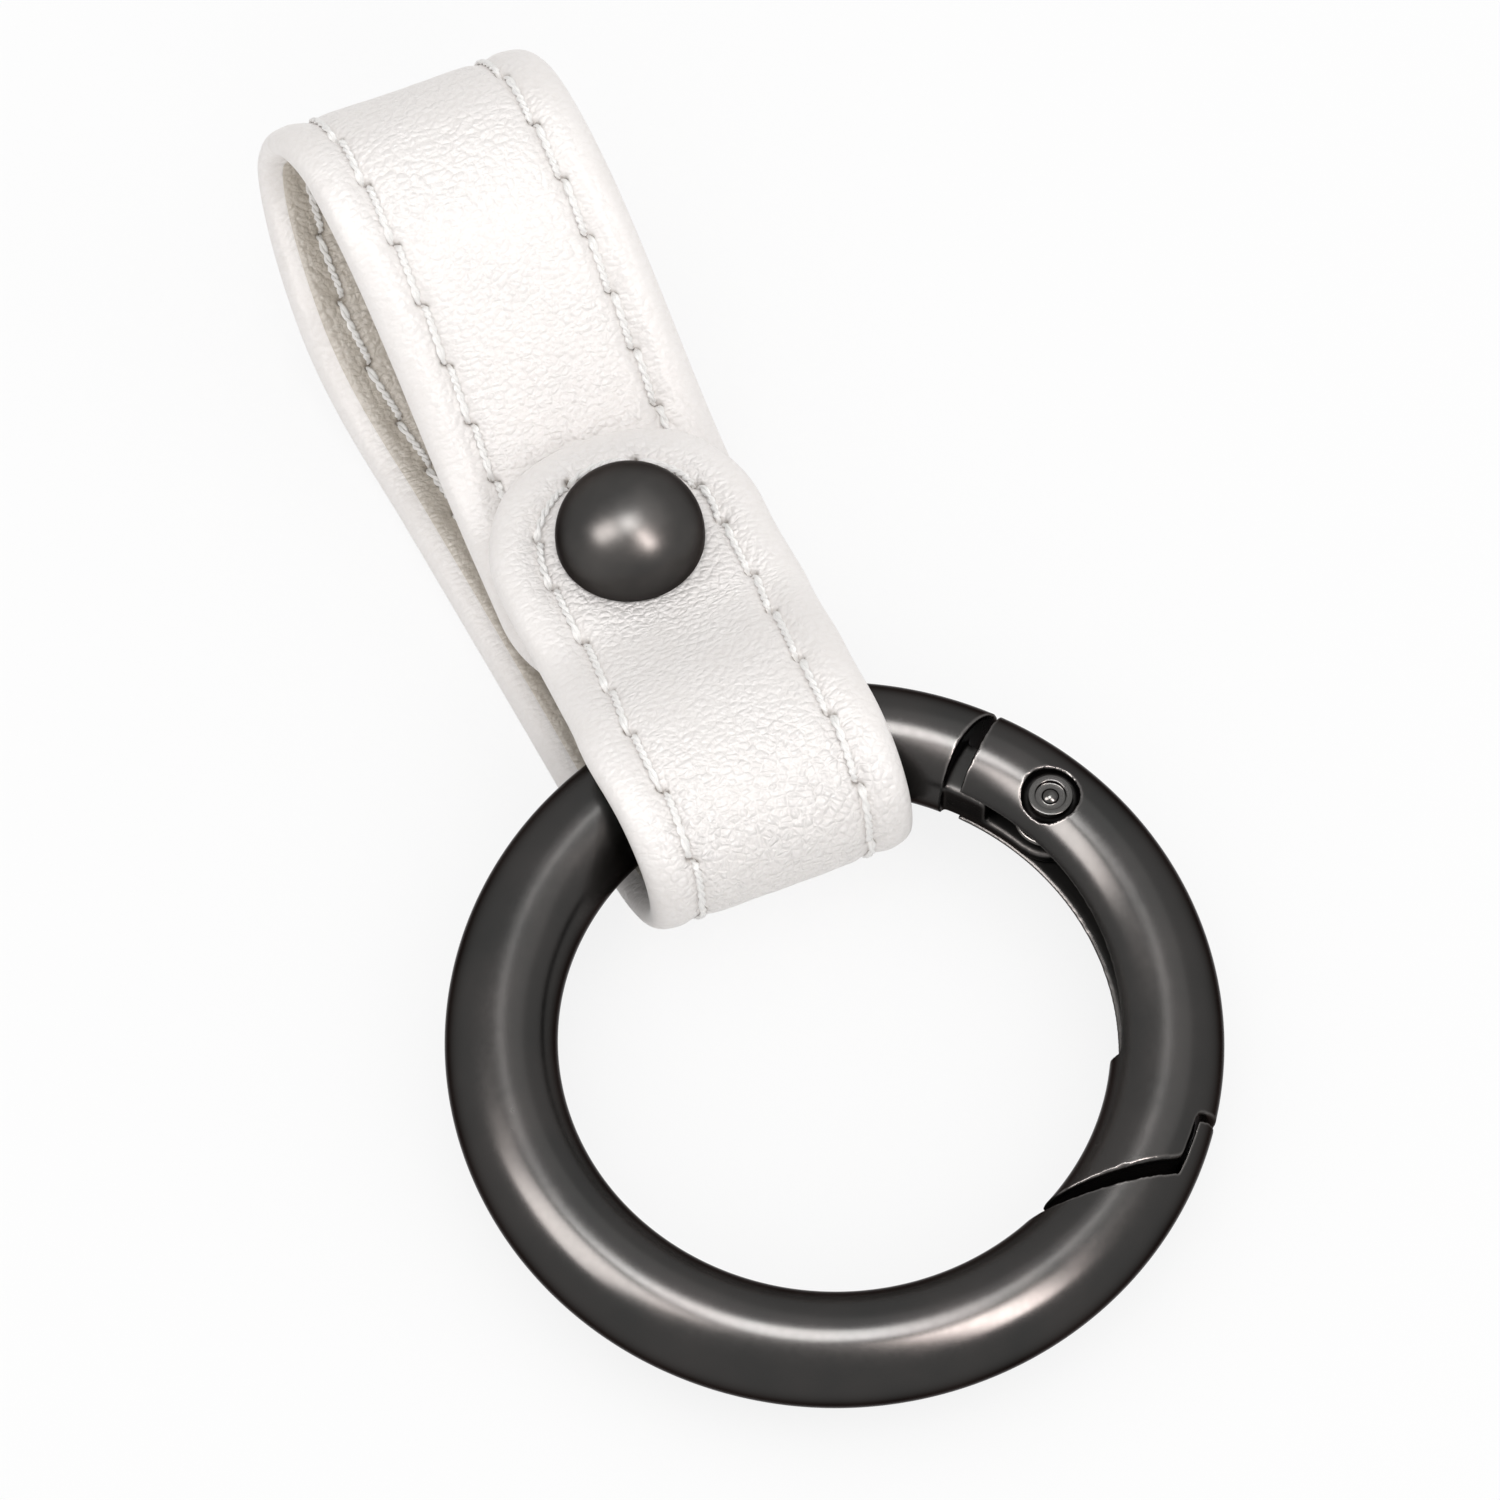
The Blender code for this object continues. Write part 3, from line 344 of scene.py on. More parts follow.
def keep_values(mesh, name, values):
    """Keeps one value for each point, for the materials to read."""
    kept = mesh.attributes.new(name, "FLOAT", "POINT")
    kept.data.foreach_set("value", values.astype(np.float32))


def finish_mesh(name, points, faces, flats, dark=None):
    """A closed, smooth mesh in metres, with its flat layout kept as a map and its creasing as a value."""
    mesh = bpy.data.meshes.new(name)
    mesh.from_pydata((points * MM).tolist(), [], faces)
    layout = mesh.uv_layers.new(name="Flat")
    corners = np.empty(len(mesh.loops), int)
    mesh.loops.foreach_get("vertex_index", corners)
    layout.uv.foreach_set("vector", (flats[corners] / FLAT_UNIT).astype(np.float32).ravel())
    distance, across = flats[:, 0], flats[:, 1]
    if dark is not None:
        # Painted shade round the stitch holes, kept for the leather's colour
        keep_values(mesh, "hole_shade", dark)
        keep_values(mesh, "inner", np.clip((inset(distance, across) - GRAIN_FROM) / GRAIN_FADE, 0, 1))
    near_cap = swell(np.hypot(distance - TAB_SNAP, across), CAP_CREASE_RADIUS, CAP_CREASE_REACH)
    near_cap *= distance < CAP_CREASE_END
    keep_values(mesh, "creased", tightness(distance) + CAP_CREASE_SHARE * near_cap)
    tidy_mesh(mesh)
    mesh.shade_smooth()
    mesh.set_sharp_from_angle(angle=math.radians(50))
    return placed(name, mesh)


def placed(name, data):
    """A new object of the scene."""
    made = bpy.data.objects.new(name, data)
    bpy.context.collection.objects.link(made)
    return made


def tidy_mesh(mesh):
    """Merges doubled points and turns every face outwards."""
    shape = bmesh.new()
    shape.from_mesh(mesh)
    bmesh.ops.remove_doubles(shape, verts=shape.verts, dist=1e-7)
    bmesh.ops.recalc_face_normals(shape, faces=shape.faces)
    shape.to_mesh(mesh)
    shape.free()


def ring_faces(rings, sides, first=0, closed=False):
    """Faces between rings of points that follow one another, whose first point has the number first."""
    faces = []
    for ring in range(rings if closed else rings - 1):
        i, j = first + ring * sides, first + (ring + 1) % rings * sides
        faces += [(i + k, i + (k + 1) % sides, j + (k + 1) % sides, j + k) for k in range(sides)]
    return faces


def ring_ends(rings, sides, first=0):
    """The two faces that close a row of rings."""
    last = first + (rings - 1) * sides
    return [tuple(range(first, first + sides)), tuple(range(last, last + sides))]


def sides_of(path, towards):
    """Unit directions beside a path and square to it, from its way and another direction."""
    way = np.gradient(path, axis=0)
    way /= np.linalg.norm(way, axis=1)[:, None]
    beside = np.cross(way, towards)
    beside /= np.linalg.norm(beside, axis=1)[:, None]
    return beside, np.cross(beside, way)


# Thread: two plies twisted together, in and out of the holes
PLY = 0.135
PLY_OFFSET = 0.1
PLY_SPREAD, PLY_STACK, PLY_HEIGHT = 1.2, 0.55, 0.85
PLY_SIDES = 7
TWIST = 1.3
TWIST_START, TWIST_SHIFT = 0.35, 0.4
STITCH_STEPS = 20
STITCH_INSET = 0.035
STITCH_SLANT = 0.13
STITCH_SHARPNESS = 10
OUTER_SINK, INNER_SINK = 0.02, 0.0
OUTER_DIVE, INNER_DIVE = 0.6, 0.5
LAYOUT_SHIFT = 3.1


def stitch_path(a, b, side):
    """One stitch between two holes: its middle line, and the directions beside and out of it."""
    sa, ua = HOLES[a]
    sb, ub = HOLES[b]
    t = np.linspace(0, 1, STITCH_STEPS + 1)
    share = STITCH_INSET + (1 - 2 * STITCH_INSET) * t
    s, u = sa + (sb - sa) * share, ua + (ub - ua) * share
    beyond = s - np.clip(s, TAB_SNAP, FRONT_SNAP)
    grow = SEAM / np.hypot(beyond, u)
    s, u = s - beyond + beyond * grow, u * grow
    slant = STITCH_SLANT * (1 - 2 * t) * np.sign(ua + ub if abs(ua + ub) > 1 else 1)
    u = u + slant * np.clip(np.abs(u) / SEAM, 0, 1)
    sunk = (2 * t - 1) ** STITCH_SHARPNESS
    sink, dive = (OUTER_SINK, OUTER_DIVE) if side > 0 else (INNER_SINK, INNER_DIVE)
    depth = side * (HALF_THICKNESS - sink - dive * sunk)
    path = place(s, u, depth)
    return path, *sides_of(path, place(s, u, depth + 1) - path)


def stitches(name, picked, side):
    """One face's stitches between the picked holes, as closed twisted plies."""
    points, faces, flats = [], [], []
    rings = STITCH_STEPS + 1
    t = np.linspace(0, 1, rings)
    for a, b in picked:
        path, beside, outward = stitch_path(a, b, side)
        gone = np.r_[0, np.cumsum(np.linalg.norm(np.diff(path, axis=0), axis=1))]
        for ply in (0, math.pi):
            turn = math.tau * gone / TWIST * (TWIST_START + (1 - TWIST_START) * t)
            turn = (turn + ply + a * TWIST_SHIFT)[:, None]
            offset = np.cos(turn) * beside * PLY_SPREAD + np.sin(turn) * outward * PLY_STACK
            middle = path + PLY_OFFSET * offset
            round_ply = []
            for k in range(PLY_SIDES):
                angle = math.tau * k / PLY_SIDES
                way = math.cos(angle) * beside + PLY_HEIGHT * math.sin(angle) * outward
                round_ply.append(middle + PLY * way)
            first = len(points) * rings * PLY_SIDES
            points.append(np.stack(round_ply, 1).reshape(-1, 3))
            along = np.repeat(gone + a * LAYOUT_SHIFT, PLY_SIDES)
            flats.append(np.stack([along, np.tile(np.arange(PLY_SIDES) / 2, rings)], 1))
            faces += ring_faces(rings, PLY_SIDES, first) + ring_ends(rings, PLY_SIDES, first)
    points = np.vstack(points)
    points[:, 2] = np.maximum(points[:, 2], THREAD_FLOOR_GAP)
    return finish_mesh(name, points, faces, np.vstack(flats))


def stitch_pairs(on_tab):
    """Neighbouring holes whose stitch lies on the tab's side of the join, or on the strap's."""
    count = len(HOLES)
    found = []
    for i in range(count):
        a, b = i, (i + 1) % count
        middle = (HOLES[a][0] + HOLES[b][0]) / 2
        if (middle < JOIN) == on_tab:
            found.append((a, b))
    return found


# Materials
class Nodes:
    """The nodes of a material or of the world, made and joined by short calls."""

    def __init__(self, owner):
        owner.use_nodes = True
        self.owner = owner
        self.tree = owner.node_tree
        self.shader = self.tree.nodes.get("Principled BSDF")

    def put(self, socket, value):
        """Joins another node's output to a socket, or else sets the socket's own value."""
        if isinstance(value, bpy.types.NodeSocket):
            self.tree.links.new(value, socket)
        else:
            socket.default_value = value

    def into(self, name, value):
        self.put(self.shader.inputs[name], value)

    def add(self, kind, inputs=(), **settings):
        node = self.tree.nodes.new(kind)
        for key, value in settings.items():
            setattr(node, key, value)
        for key, value in dict(inputs).items():
            self.put(node.inputs[key], value)
        return node

    def value(self, name):
        """A value kept on the mesh's points."""
        return self.add("ShaderNodeAttribute", attribute_name=name).outputs["Fac"]

    def maths(self, operation, a, b=0.0, c=0.0):
        return self.add("ShaderNodeMath", {0: a, 1: b, 2: c}, operation=operation).outputs[0]

    def times_plus(self, a, b, c):
        return self.maths("MULTIPLY_ADD", a, b, c)

    def between(self, value, low, high, to_low=0.0, to_high=1.0, ease="LINEAR"):
        spread = {"Value": value, "From Min": low, "From Max": high, "To Min": to_low, "To Max": to_high}
        return self.add("ShaderNodeMapRange", spread, interpolation_type=ease).outputs["Result"]

    def colours(self, value, low, high):
        ends = [end if isinstance(end, bpy.types.NodeSocket) else (*end, 1) for end in (low, high)]
        return self.add("ShaderNodeMix", {0: value, 6: ends[0], 7: ends[1]}, data_type="RGBA").outputs[2]

    def noise(self, layout, scale, detail, **settings):
        inputs = {"Vector": layout, "Scale": scale, "Detail": detail}
        return self.add("ShaderNodeTexNoise", inputs, **settings)

    def layout(self):
        """The strap's flat layout."""
        return self.add("ShaderNodeUVMap", uv_map="Flat").outputs["UV"]

    def bump(self, strength, distance, height):
        """Raises the surface by a height, for up to a distance in mm."""
        inputs = {"Strength": strength, "Distance": distance * MM, "Height": height}
        self.into("Normal", self.add("ShaderNodeBump", inputs).outputs[0])


def leather(name, shade_and_dark_tone, colour, grain):
    """Grained leather: soft pebbles and short creases, which grow where the strap bends. Its colour drifts
    softly at random, and is painted darker in the grain's cracks, valleys and pebble edges as painted
    shade.
    """
    pebble_rise, fine_rise, valley_rise = -1.1, 0.3, 0.08
    crease_rise, crease_rise_bent = -0.1, -0.5
    crack_rise, crack_rise_bent = 0.26, 0.3
    weak, strong, rise_bent, rise_at_rim = 0.4, 0.65, 0.25, 0.35
    # Weights of the colour: a soft drift of the leather's own tone, and painted shade in the grain's
    # valleys, cracks and pebble edges
    soft_tone, valley_shade, crack_shade, pebble_edge_shade = 0.6, 0.25, 0.1, -0.3
    # The colour of the painted shade in the stitch holes
    hole_shade_colour = (0.2, 0.17, 0.14)
    n = Nodes(bpy.data.materials.new(name))
    creased = n.value("creased")
    in_mm = {"Vector": n.layout(), "Scale": (FLAT_UNIT, FLAT_UNIT, 1)}
    layout = n.add("ShaderNodeMapping", in_mm).outputs["Vector"]

    def drifting(scale, detail, distortion=0.0):
        inputs = {"Vector": layout, "Scale": scale, "Detail": detail, "Distortion": distortion}
        return n.add("ShaderNodeTexNoise", inputs, noise_dimensions="2D").outputs["Fac"]

    def valleys(scale, distortion, width):
        """Thin valleys where a noise crosses its middle."""
        off = n.maths("ABSOLUTE", n.maths("SUBTRACT", drifting(scale, 1.5, distortion), 0.5))
        return n.between(off, 0.0, width, ease="SMOOTHSTEP")

    def cells(scale, stretch, shift, feature="SMOOTH_F1"):
        """Rounded pebbles with soft valleys between them."""
        inputs = {"Vector": wandering, "Scale": stretch, "Location": (shift, 0, 0)}
        inputs = {"Vector": n.add("ShaderNodeMapping", inputs).outputs[0], "Scale": scale}
        if feature == "SMOOTH_F1":
            inputs["Smoothness"] = 0.2
        found = n.add("ShaderNodeTexVoronoi", inputs, voronoi_dimensions="2D", feature=feature)
        return found.outputs["Distance"]

    warp = n.noise(layout, 0.9, 3.0, noise_dimensions="2D")
    shift = n.add("ShaderNodeVectorMath", {0: warp.outputs["Color"], "Scale": 0.3}, operation="SCALE")
    wandering = n.add("ShaderNodeVectorMath", {0: layout, 1: shift.outputs[0]}, operation="ADD").outputs[0]
    cracks = n.between(cells(2.5, (1, 0.68, 1), 3, "DISTANCE_TO_EDGE"), 0.0, 0.3, ease="SMOOTHSTEP")
    pebbles = cells(2.7, (1, 0.75, 1), 0)
    creases_across = cells(1.35, (1.2, 0.7, 1), 7)
    fine = drifting(5.5, 3.0)
    soft = drifting(0.3, 2.0)
    valley = valleys(1.5, 0.6, 0.06)
    height = n.times_plus(fine, fine_rise, n.maths("MULTIPLY", valley, valley_rise))
    height = n.times_plus(pebbles, pebble_rise, height)
    height = n.times_plus(creases_across, n.times_plus(creased, crease_rise_bent, crease_rise), height)
    height = n.times_plus(cracks, n.times_plus(creased, crack_rise_bent, crack_rise), height)
    strength = n.times_plus(creased, rise_bent, n.between(soft, 0.3, 0.7, weak, strong))
    strength = n.maths("MULTIPLY", strength, n.between(n.value("inner"), 0.0, 1.0, rise_at_rim, 1.0))
    n.bump(strength, grain, height)
    # Painted shade in the grain: cracks, valleys and pebble edges are coloured darker; the soft drift is
    # the leather's own tone
    tone_and_shade = n.times_plus(cracks, crack_shade, n.maths("MULTIPLY", pebbles, pebble_edge_shade))
    tone_and_shade = n.times_plus(soft, soft_tone, n.times_plus(valley, valley_shade, tone_and_shade))
    skin = n.colours(n.between(tone_and_shade, 0.1, 0.6), shade_and_dark_tone, colour)
    # Painted shade: the stitch holes' slits and ends are coloured dark
    n.into("Base Color", n.colours(n.value("hole_shade"), skin, hole_shade_colour))
    n.into("Roughness", n.between(fine, 0.35, 0.65, 0.5, 0.4))
    n.into("Specular IOR Level", 0.35)
    return n.owner


def thread_material():
    """Pale bonded thread with fine strands along each ply."""
    n = Nodes(bpy.data.materials.new("bonded_thread"))
    strands = {"Vector": n.layout(), "Scale": (18, 60, 1), "Rotation": (0, 0, 0.5)}
    strands = n.add("ShaderNodeMapping", strands).outputs["Vector"]
    wave = n.add("ShaderNodeTexWave", {"Vector": strands, "Scale": 1.0, "Distortion": 1.5, "Detail": 1.0})
    n.bump(0.4, 0.02, wave.outputs["Fac"])
    n.into("Base Color", n.colours(wave.outputs["Fac"], (0.92, 0.9, 0.875), (0.95, 0.94, 0.925)))
    n.into("Roughness", 0.33)
    n.into("Sheen Weight", 0.15)
    n.into("Sheen Roughness", 0.4)
    return n.owner


def gunmetal(name, colour, warm, roughness):
    """Satin plated metal: clouded and faintly brushed; rougher and painted darker, as painted shade, where
    it is cut in below the surface and along inner edges, and painted lighter along outer edges as a painted
    highlight.
    """
    sunk_shade_tone, edge_highlight_tone = 0.4, 2.2
    sunk_roughness, grain_roughness, cloud_roughness = 0.2, 0.08, 0.05
    n = Nodes(bpy.data.materials.new(name))
    spot = n.add("ShaderNodeTexCoord").outputs["Object"]
    sunk = n.value("sunk")
    cloud = n.noise(spot, 160.0, 3.0).outputs["Fac"]
    grain = n.noise(spot, 2600.0, 4.0).outputs["Fac"]
    plated = n.colours(n.between(cloud, 0.35, 0.65), colour, warm)
    # Painted shade: where cut in below the surface and along inner edges, the plating is coloured darker
    plated = n.colours(sunk, plated, tuple(sunk_shade_tone * c for c in colour))
    # Painted highlight: the sharp outer edges are coloured lighter
    n.into("Base Color", n.colours(n.value("edge_highlight"), plated, tuple(edge_highlight_tone * c for c in warm)))
    n.into("Metallic", 1.0)
    rough = n.between(cloud, 0.3, 0.7, roughness - cloud_roughness, roughness)
    rough = n.times_plus(grain, grain_roughness, rough)
    n.into("Roughness", n.times_plus(sunk, sunk_roughness, rough))
    n.into("Specular Tint", (0.35, 0.34, 0.34, 1))
    n.bump(0.1, 0.01, grain)
    return n.owner


LEATHER = leather("grained_leather", (0.835, 0.8, 0.775), (0.872, 0.84, 0.82), 0.12)
# The lining is coloured much darker and warmer than the skin, as painted shade for the inside of the loops
SHADED_LINING = leather("grained_leather_inside", (0.52, 0.47, 0.405), (0.62, 0.57, 0.505), 0.17)
THREAD = thread_material()
GUNMETAL = gunmetal("satin_gunmetal", (0.041, 0.0405, 0.0395), (0.049, 0.0465, 0.045), 0.22)
WIRE = gunmetal("spring_wire", (0.11, 0.105, 0.1), (0.14, 0.135, 0.13), 0.25)
BRUSHED = gunmetal("brushed_gunmetal", (0.043, 0.042, 0.041), (0.072, 0.068, 0.065), 0.31)
RIVET = gunmetal("polished_gunmetal", (0.055, 0.054, 0.052), (0.065, 0.063, 0.061), 0.17)


def dress(piece, node, finish):
    """Gives a piece its material and slot, and the solid whose place it takes."""
    piece.data.materials.clear()
    piece.data.materials.append(finish)
    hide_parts(node)


def lay_strap(strap, tab, node, finish):
    """Dresses a layer's two pieces and hangs the strap's on the strap body. The tab's runs on round the
    lower loop, with its place baked into its mesh.
    """
    dress(strap, f"strap_{node}", finish)
    dress(tab, f"tab_{node}", finish)
    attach(strap, "strap")
    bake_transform(tab)


for node, half, finish, slot in (
    ("skin", skin_half(), LEATHER, "faux_leather"),
    ("lining", lining_half(), SHADED_LINING, "lining"),
):
    strap = leather_piece(f"strap_{node}_sewn", half, JOIN, FRONT_SNAP)
    tab = leather_piece(f"tab_{node}_sewn", half, JOIN, TAB_SNAP)
    lay_strap(strap, tab, node, finish)
for side, node in ((1, "thread"), (-1, "lining_thread")):
    strap = stitches(f"strap_{node}_plies", stitch_pairs(False), side)
    tab = stitches(f"tab_{node}_plies", stitch_pairs(True), side)
    lay_strap(strap, tab, node, THREAD)

# The ring, as part.py makes it, in mm round the middle of its tube
RING_RADIUS, TUBE_RADIUS = 19.1, 3.25
RING_PLACE = Matrix.Translation((0, -22.138098, 4.25)) @ Matrix.Rotation(0.05238, 4, "X")
BODY_END, GATE_START, PIN_ANGLE, CHANNEL_END = (math.radians(a) for a in (45.2, 48.3, 64.0, 118.0))
END_HORN, HOLLOW_DEPTH = math.radians(2.6), 0.5
PIN_RADIUS, PIN_BORE, COUNTERBORE_RADIUS, COUNTERBORE_SEAT = 0.9, 0.96, 1.65, 2.4
CHANNEL_HALF, CHANNEL_DEPTH = 1.65, 2.1
TONGUE_LOW, TONGUE_TOP, TONGUE_HIGH = -1.5, -0.5, 1.5
TONGUE_INNER, TONGUE_OUTER, TONGUE_ROOT, KNUCKLE_RADIUS = 16.4, 19.6, 2.0, 2.3
NOSE_LINE, NOSE_TILT, NOSE_GAP = 13.905, math.radians(6), 0.7
LIP_THICKNESS, LIP_LENGTH, LIP_GAP = 0.9, 2.4, 0.12
PIN_INSET = 0.35
SPARE, RUN_ON = 5, math.radians(6)
FAR = RING_RADIUS + TUBE_RADIUS + SPARE
FINE_ARC, FINE_SIDES, HOLLOW_SIDES = math.radians(2), 96, 240


def polar(radius, angle):
    """A point of the ring's plane, at an angle from its Y axis."""
    return radius * math.sin(angle), radius * math.cos(angle)


def arc(radius, start, end):
    """Points of the ring's plane along part of a circle about its middle."""
    steps = max(1, round(abs(end - start) / FINE_ARC))
    return [polar(radius, start + (end - start) * i / steps) for i in range(steps + 1)]


def disc(x, y, radius, sides=FINE_SIDES):
    turns = [math.tau * i / sides for i in range(sides)]
    return [(x + radius * math.cos(t), y + radius * math.sin(t)) for t in turns]


def rough_solid(name, points, faces):
    mesh = bpy.data.meshes.new(name)
    mesh.from_pydata([tuple(p) for p in points], [], faces)
    tidy_mesh(mesh)
    return placed(name, mesh)


def prism(outline, low, high):
    """A solid with straight sides over an outline in the ring's plane, to cut with or to join on."""
    n = len(outline)
    points = [(x, y, z) for z in (low, high) for x, y in outline]
    sides = [(i, (i + 1) % n, n + (i + 1) % n, n + i) for i in range(n)]
    return rough_solid("cutter", points, [tuple(range(n)), tuple(range(n, 2 * n)), *sides])


def tube_arc(start, end, sides=56):
    """Part of the ring's round tube."""
    points = []
    path = arc(RING_RADIUS, start, end)
    for x, y in path:
        for k in range(sides):
            turn = math.tau * k / sides
            reach = 1 + TUBE_RADIUS * math.cos(turn) / RING_RADIUS
            points.append((x * reach, y * reach, TUBE_RADIUS * math.sin(turn)))
    return rough_solid("tube", points, ring_faces(len(path), sides) + ring_ends(len(path), sides))


def joined(node, other, operation="DIFFERENCE"):
    """Cuts or joins for good, and throws the helper away."""
    change = node.modifiers.new("joined", "BOOLEAN")
    change.operation, change.object = operation, other
    bake(node)
    bpy.data.objects.remove(other)


def bake(node):
    """Turns a node's modifiers into its mesh."""
    bpy.context.view_layer.update()
    mesh = bpy.data.meshes.new_from_object(node.evaluated_get(bpy.context.evaluated_depsgraph_get()))
    node.modifiers.clear()
    node.data = mesh


def off_tube(points):
    """How far points lie outside the ring's tube, and the way out of it."""
    flat = np.hypot(points[:, 0], points[:, 1])
    middle = points * (RING_RADIUS / flat)[:, None] * (1, 1, 0)
    way = points - middle
    reach = np.linalg.norm(way, axis=1)
    return reach - TUBE_RADIUS, way / reach[:, None]


# How the ring's pieces are softened: lengths are in mm
VOXEL, KEPT = 0.09, 0.3
SOFT_STEPS, EVEN_STEPS, SOFT_SHARE = 34, 14, 0.6
ROUND_WITHIN, ROUND_FADE = 0.1, 0.06
AGREE_FROM, AGREE_FADE = 0.9, 0.08
BEND_STEPS, BEND_FROM, BEND_FADE = 4, 0.7, 1.8
# Which sharp edges get the painted highlight and which the painted shade, and how deep a cut starts to get
# painted shade
INNER_SIDE, INNER_FADE = 2.9, 0.5
SUNK_FROM, SUNK_FADE = 0.12, 0.5


def read_points(mesh):
    points = np.empty(len(mesh.vertices) * 3)
    mesh.vertices.foreach_get("co", points)
    return points.reshape(-1, 3)


def read_edges(mesh):
    """The numbers of the points at either end of every edge."""
    edges = np.empty(len(mesh.edges) * 2, int)
    mesh.edges.foreach_get("vertices", edges)
    return edges.reshape(-1, 2).T


def soften(mesh, soft_from, soft_to):
    """Draws points towards their neighbours: all of them at first, then those between two angles."""
    points = read_points(mesh)
    a, b = read_edges(mesh)
    ends = np.r_[a, b]
    count = np.bincount(ends, minlength=len(points))[:, None]
    angle = np.degrees(np.arctan2(points[:, 0], points[:, 1])) % 360
    soft = ((angle > soft_from) & (angle < soft_to))[:, None]
    for step in range(SOFT_STEPS):
        total = [np.bincount(ends, np.r_[points[b, k], points[a, k]], len(points)) for k in range(3)]
        share = np.where(soft | (step < EVEN_STEPS), SOFT_SHARE, 0)
        points = points + share * (np.stack(total, 1) / count - points)
    mesh.vertices.foreach_set("co", points.ravel())


def edge_share(mesh, points, normals):
    """Where the surface turns sharply outwards, from 0 to 1, evened out over neighbouring points."""
    a, b = read_edges(mesh)
    ends = np.r_[a, b]
    step = points[a] - points[b]
    bend = np.sum((normals[a] - normals[b]) * step, 1) / np.sum(step * step, 1)
    count = np.bincount(ends, minlength=len(points))
    for _ in range(BEND_STEPS):
        mean = np.bincount(ends, np.r_[bend, bend], len(points)) / count
        bend = (mean[a] + mean[b]) / 2
    return np.clip((mean - BEND_FROM) / BEND_FADE, 0, 1)


def cast(name, node, soft_from=0, soft_to=0):
    """Softens a ring piece's edges like a polished casting's, and keeps its tube truly round."""
    change = node.modifiers.new("cells", "REMESH")
    change.mode, change.voxel_size = "VOXEL", VOXEL
    bake(node)
    soften(node.data, soft_from, soft_to)
    shrink = node.modifiers.new("fewer", "DECIMATE")
    shrink.ratio = KEPT
    bake(node)
    mesh = node.data
    points = read_points(mesh)
    off, way = off_tube(points)
    share = np.clip((ROUND_WITHIN - np.abs(off)) / ROUND_FADE, 0, 1)
    share = (share * share * (3 - 2 * share))[:, None]
    points = points - share * off[:, None] * way
    mesh.vertices.foreach_set("co", points.ravel())
    mesh.update()
    normals = np.empty(len(points) * 3)
    mesh.vertex_normals.foreach_get("vector", normals)
    normals = normals.reshape(-1, 3)
    agree = np.clip((np.sum(normals * way, 1) - AGREE_FROM) / AGREE_FADE, 0, 1)[:, None] * share
    normals = (1 - agree) * normals + agree * way
    normals /= np.linalg.norm(normals, axis=1)[:, None]
    mesh.vertices.foreach_set("co", (points * MM).ravel())
    edge = edge_share(mesh, points, normals)
    reach = np.hypot(points[:, 0], points[:, 1]) - RING_RADIUS
    outside = np.clip((reach + INNER_SIDE) / INNER_FADE, 0, 1)
    # Painted highlight mask: the sharp edges on the ring's outer side
    keep_values(mesh, "edge_highlight", edge * outside)
    # Painted shade mask: cut in below the tube, and the sharp edges on the ring's inner side
    keep_values(mesh, "sunk", np.clip((-off - SUNK_FROM) / SUNK_FADE + edge * (1 - outside), 0, 1))
    turn = Matrix.Translation(RING_PLACE.translation * MM) @ RING_PLACE.to_3x3().to_4x4()
    mesh.transform(turn)
    mesh.shade_smooth()
    spun = normals @ np.array(RING_PLACE.to_3x3()).T
    mesh.normals_split_custom_set_from_vertices(spun.tolist())
    node.name = mesh.name = name
    return node


def nose_cut(line, lip_radius, lip_end, corner_y):
    """An outline that parts the ring at the gate's nose: along a line, then under the lip and out."""
    start, end = math.acos(line / lip_radius), math.acos(lip_end / lip_radius)
    flat = [(0, line), *arc(lip_radius, start, end), (FAR, lip_end), (FAR, corner_y), (0, corner_y)]
    side, along = math.sin(NOSE_TILT), math.cos(NOSE_TILT)
    return [(x * along + y * side, y * along - x * side) for x, y in flat]


PIN_X, PIN_Y = polar(RING_RADIUS - PIN_INSET, PIN_ANGLE)


def ring_body():
    """The fixed part of the ring, with the lip over the gate's nose and the tongue of its hinge."""
    line, lip_radius = -NOSE_LINE - NOSE_GAP / 2, FAR - SPARE - LIP_THICKNESS
    start = math.acos((LIP_LENGTH - NOSE_LINE) / lip_radius) + NOSE_TILT - RUN_ON
    node = tube_arc(start, math.tau + BODY_END + END_HORN + FINE_ARC)
    joined(node, prism(nose_cut(line, lip_radius, LIP_LENGTH - NOSE_LINE, 0), -FAR, FAR))
    inside = Vector(polar(RING_RADIUS - TUBE_RADIUS, BODY_END))
    outside = Vector(polar(RING_RADIUS + TUBE_RADIUS, BODY_END + END_HORN))
    chord = outside - inside
    radius = (chord.length_squared / 4 + HOLLOW_DEPTH**2) / (2 * HOLLOW_DEPTH)
    centre = (inside + outside) / 2 + (radius - HOLLOW_DEPTH) * Vector((chord.y, -chord.x)).normalized()
    joined(node, prism(disc(*centre, radius, HOLLOW_SIDES), -FAR, FAR))
    before, after = BODY_END - TONGUE_ROOT / RING_RADIUS, GATE_START + TONGUE_ROOT / RING_RADIUS
    root = [*arc(TONGUE_OUTER, before, after), *arc(TONGUE_INNER, after, before)]
    joined(node, prism(root, TONGUE_LOW, TONGUE_HIGH), "UNION")
    tongue = [*arc(TONGUE_OUTER, before, PIN_ANGLE), *arc(TONGUE_INNER, PIN_ANGLE, before)]
    joined(node, prism(tongue, TONGUE_LOW, TONGUE_TOP), "UNION")
    joined(node, prism(disc(PIN_X, PIN_Y, KNUCKLE_RADIUS), TONGUE_LOW, TONGUE_TOP), "UNION")
    joined(node, prism(disc(PIN_X, PIN_Y, PIN_BORE), TONGUE_LOW - SPARE, TONGUE_HIGH))
    return cast("ring_body_cast", node)


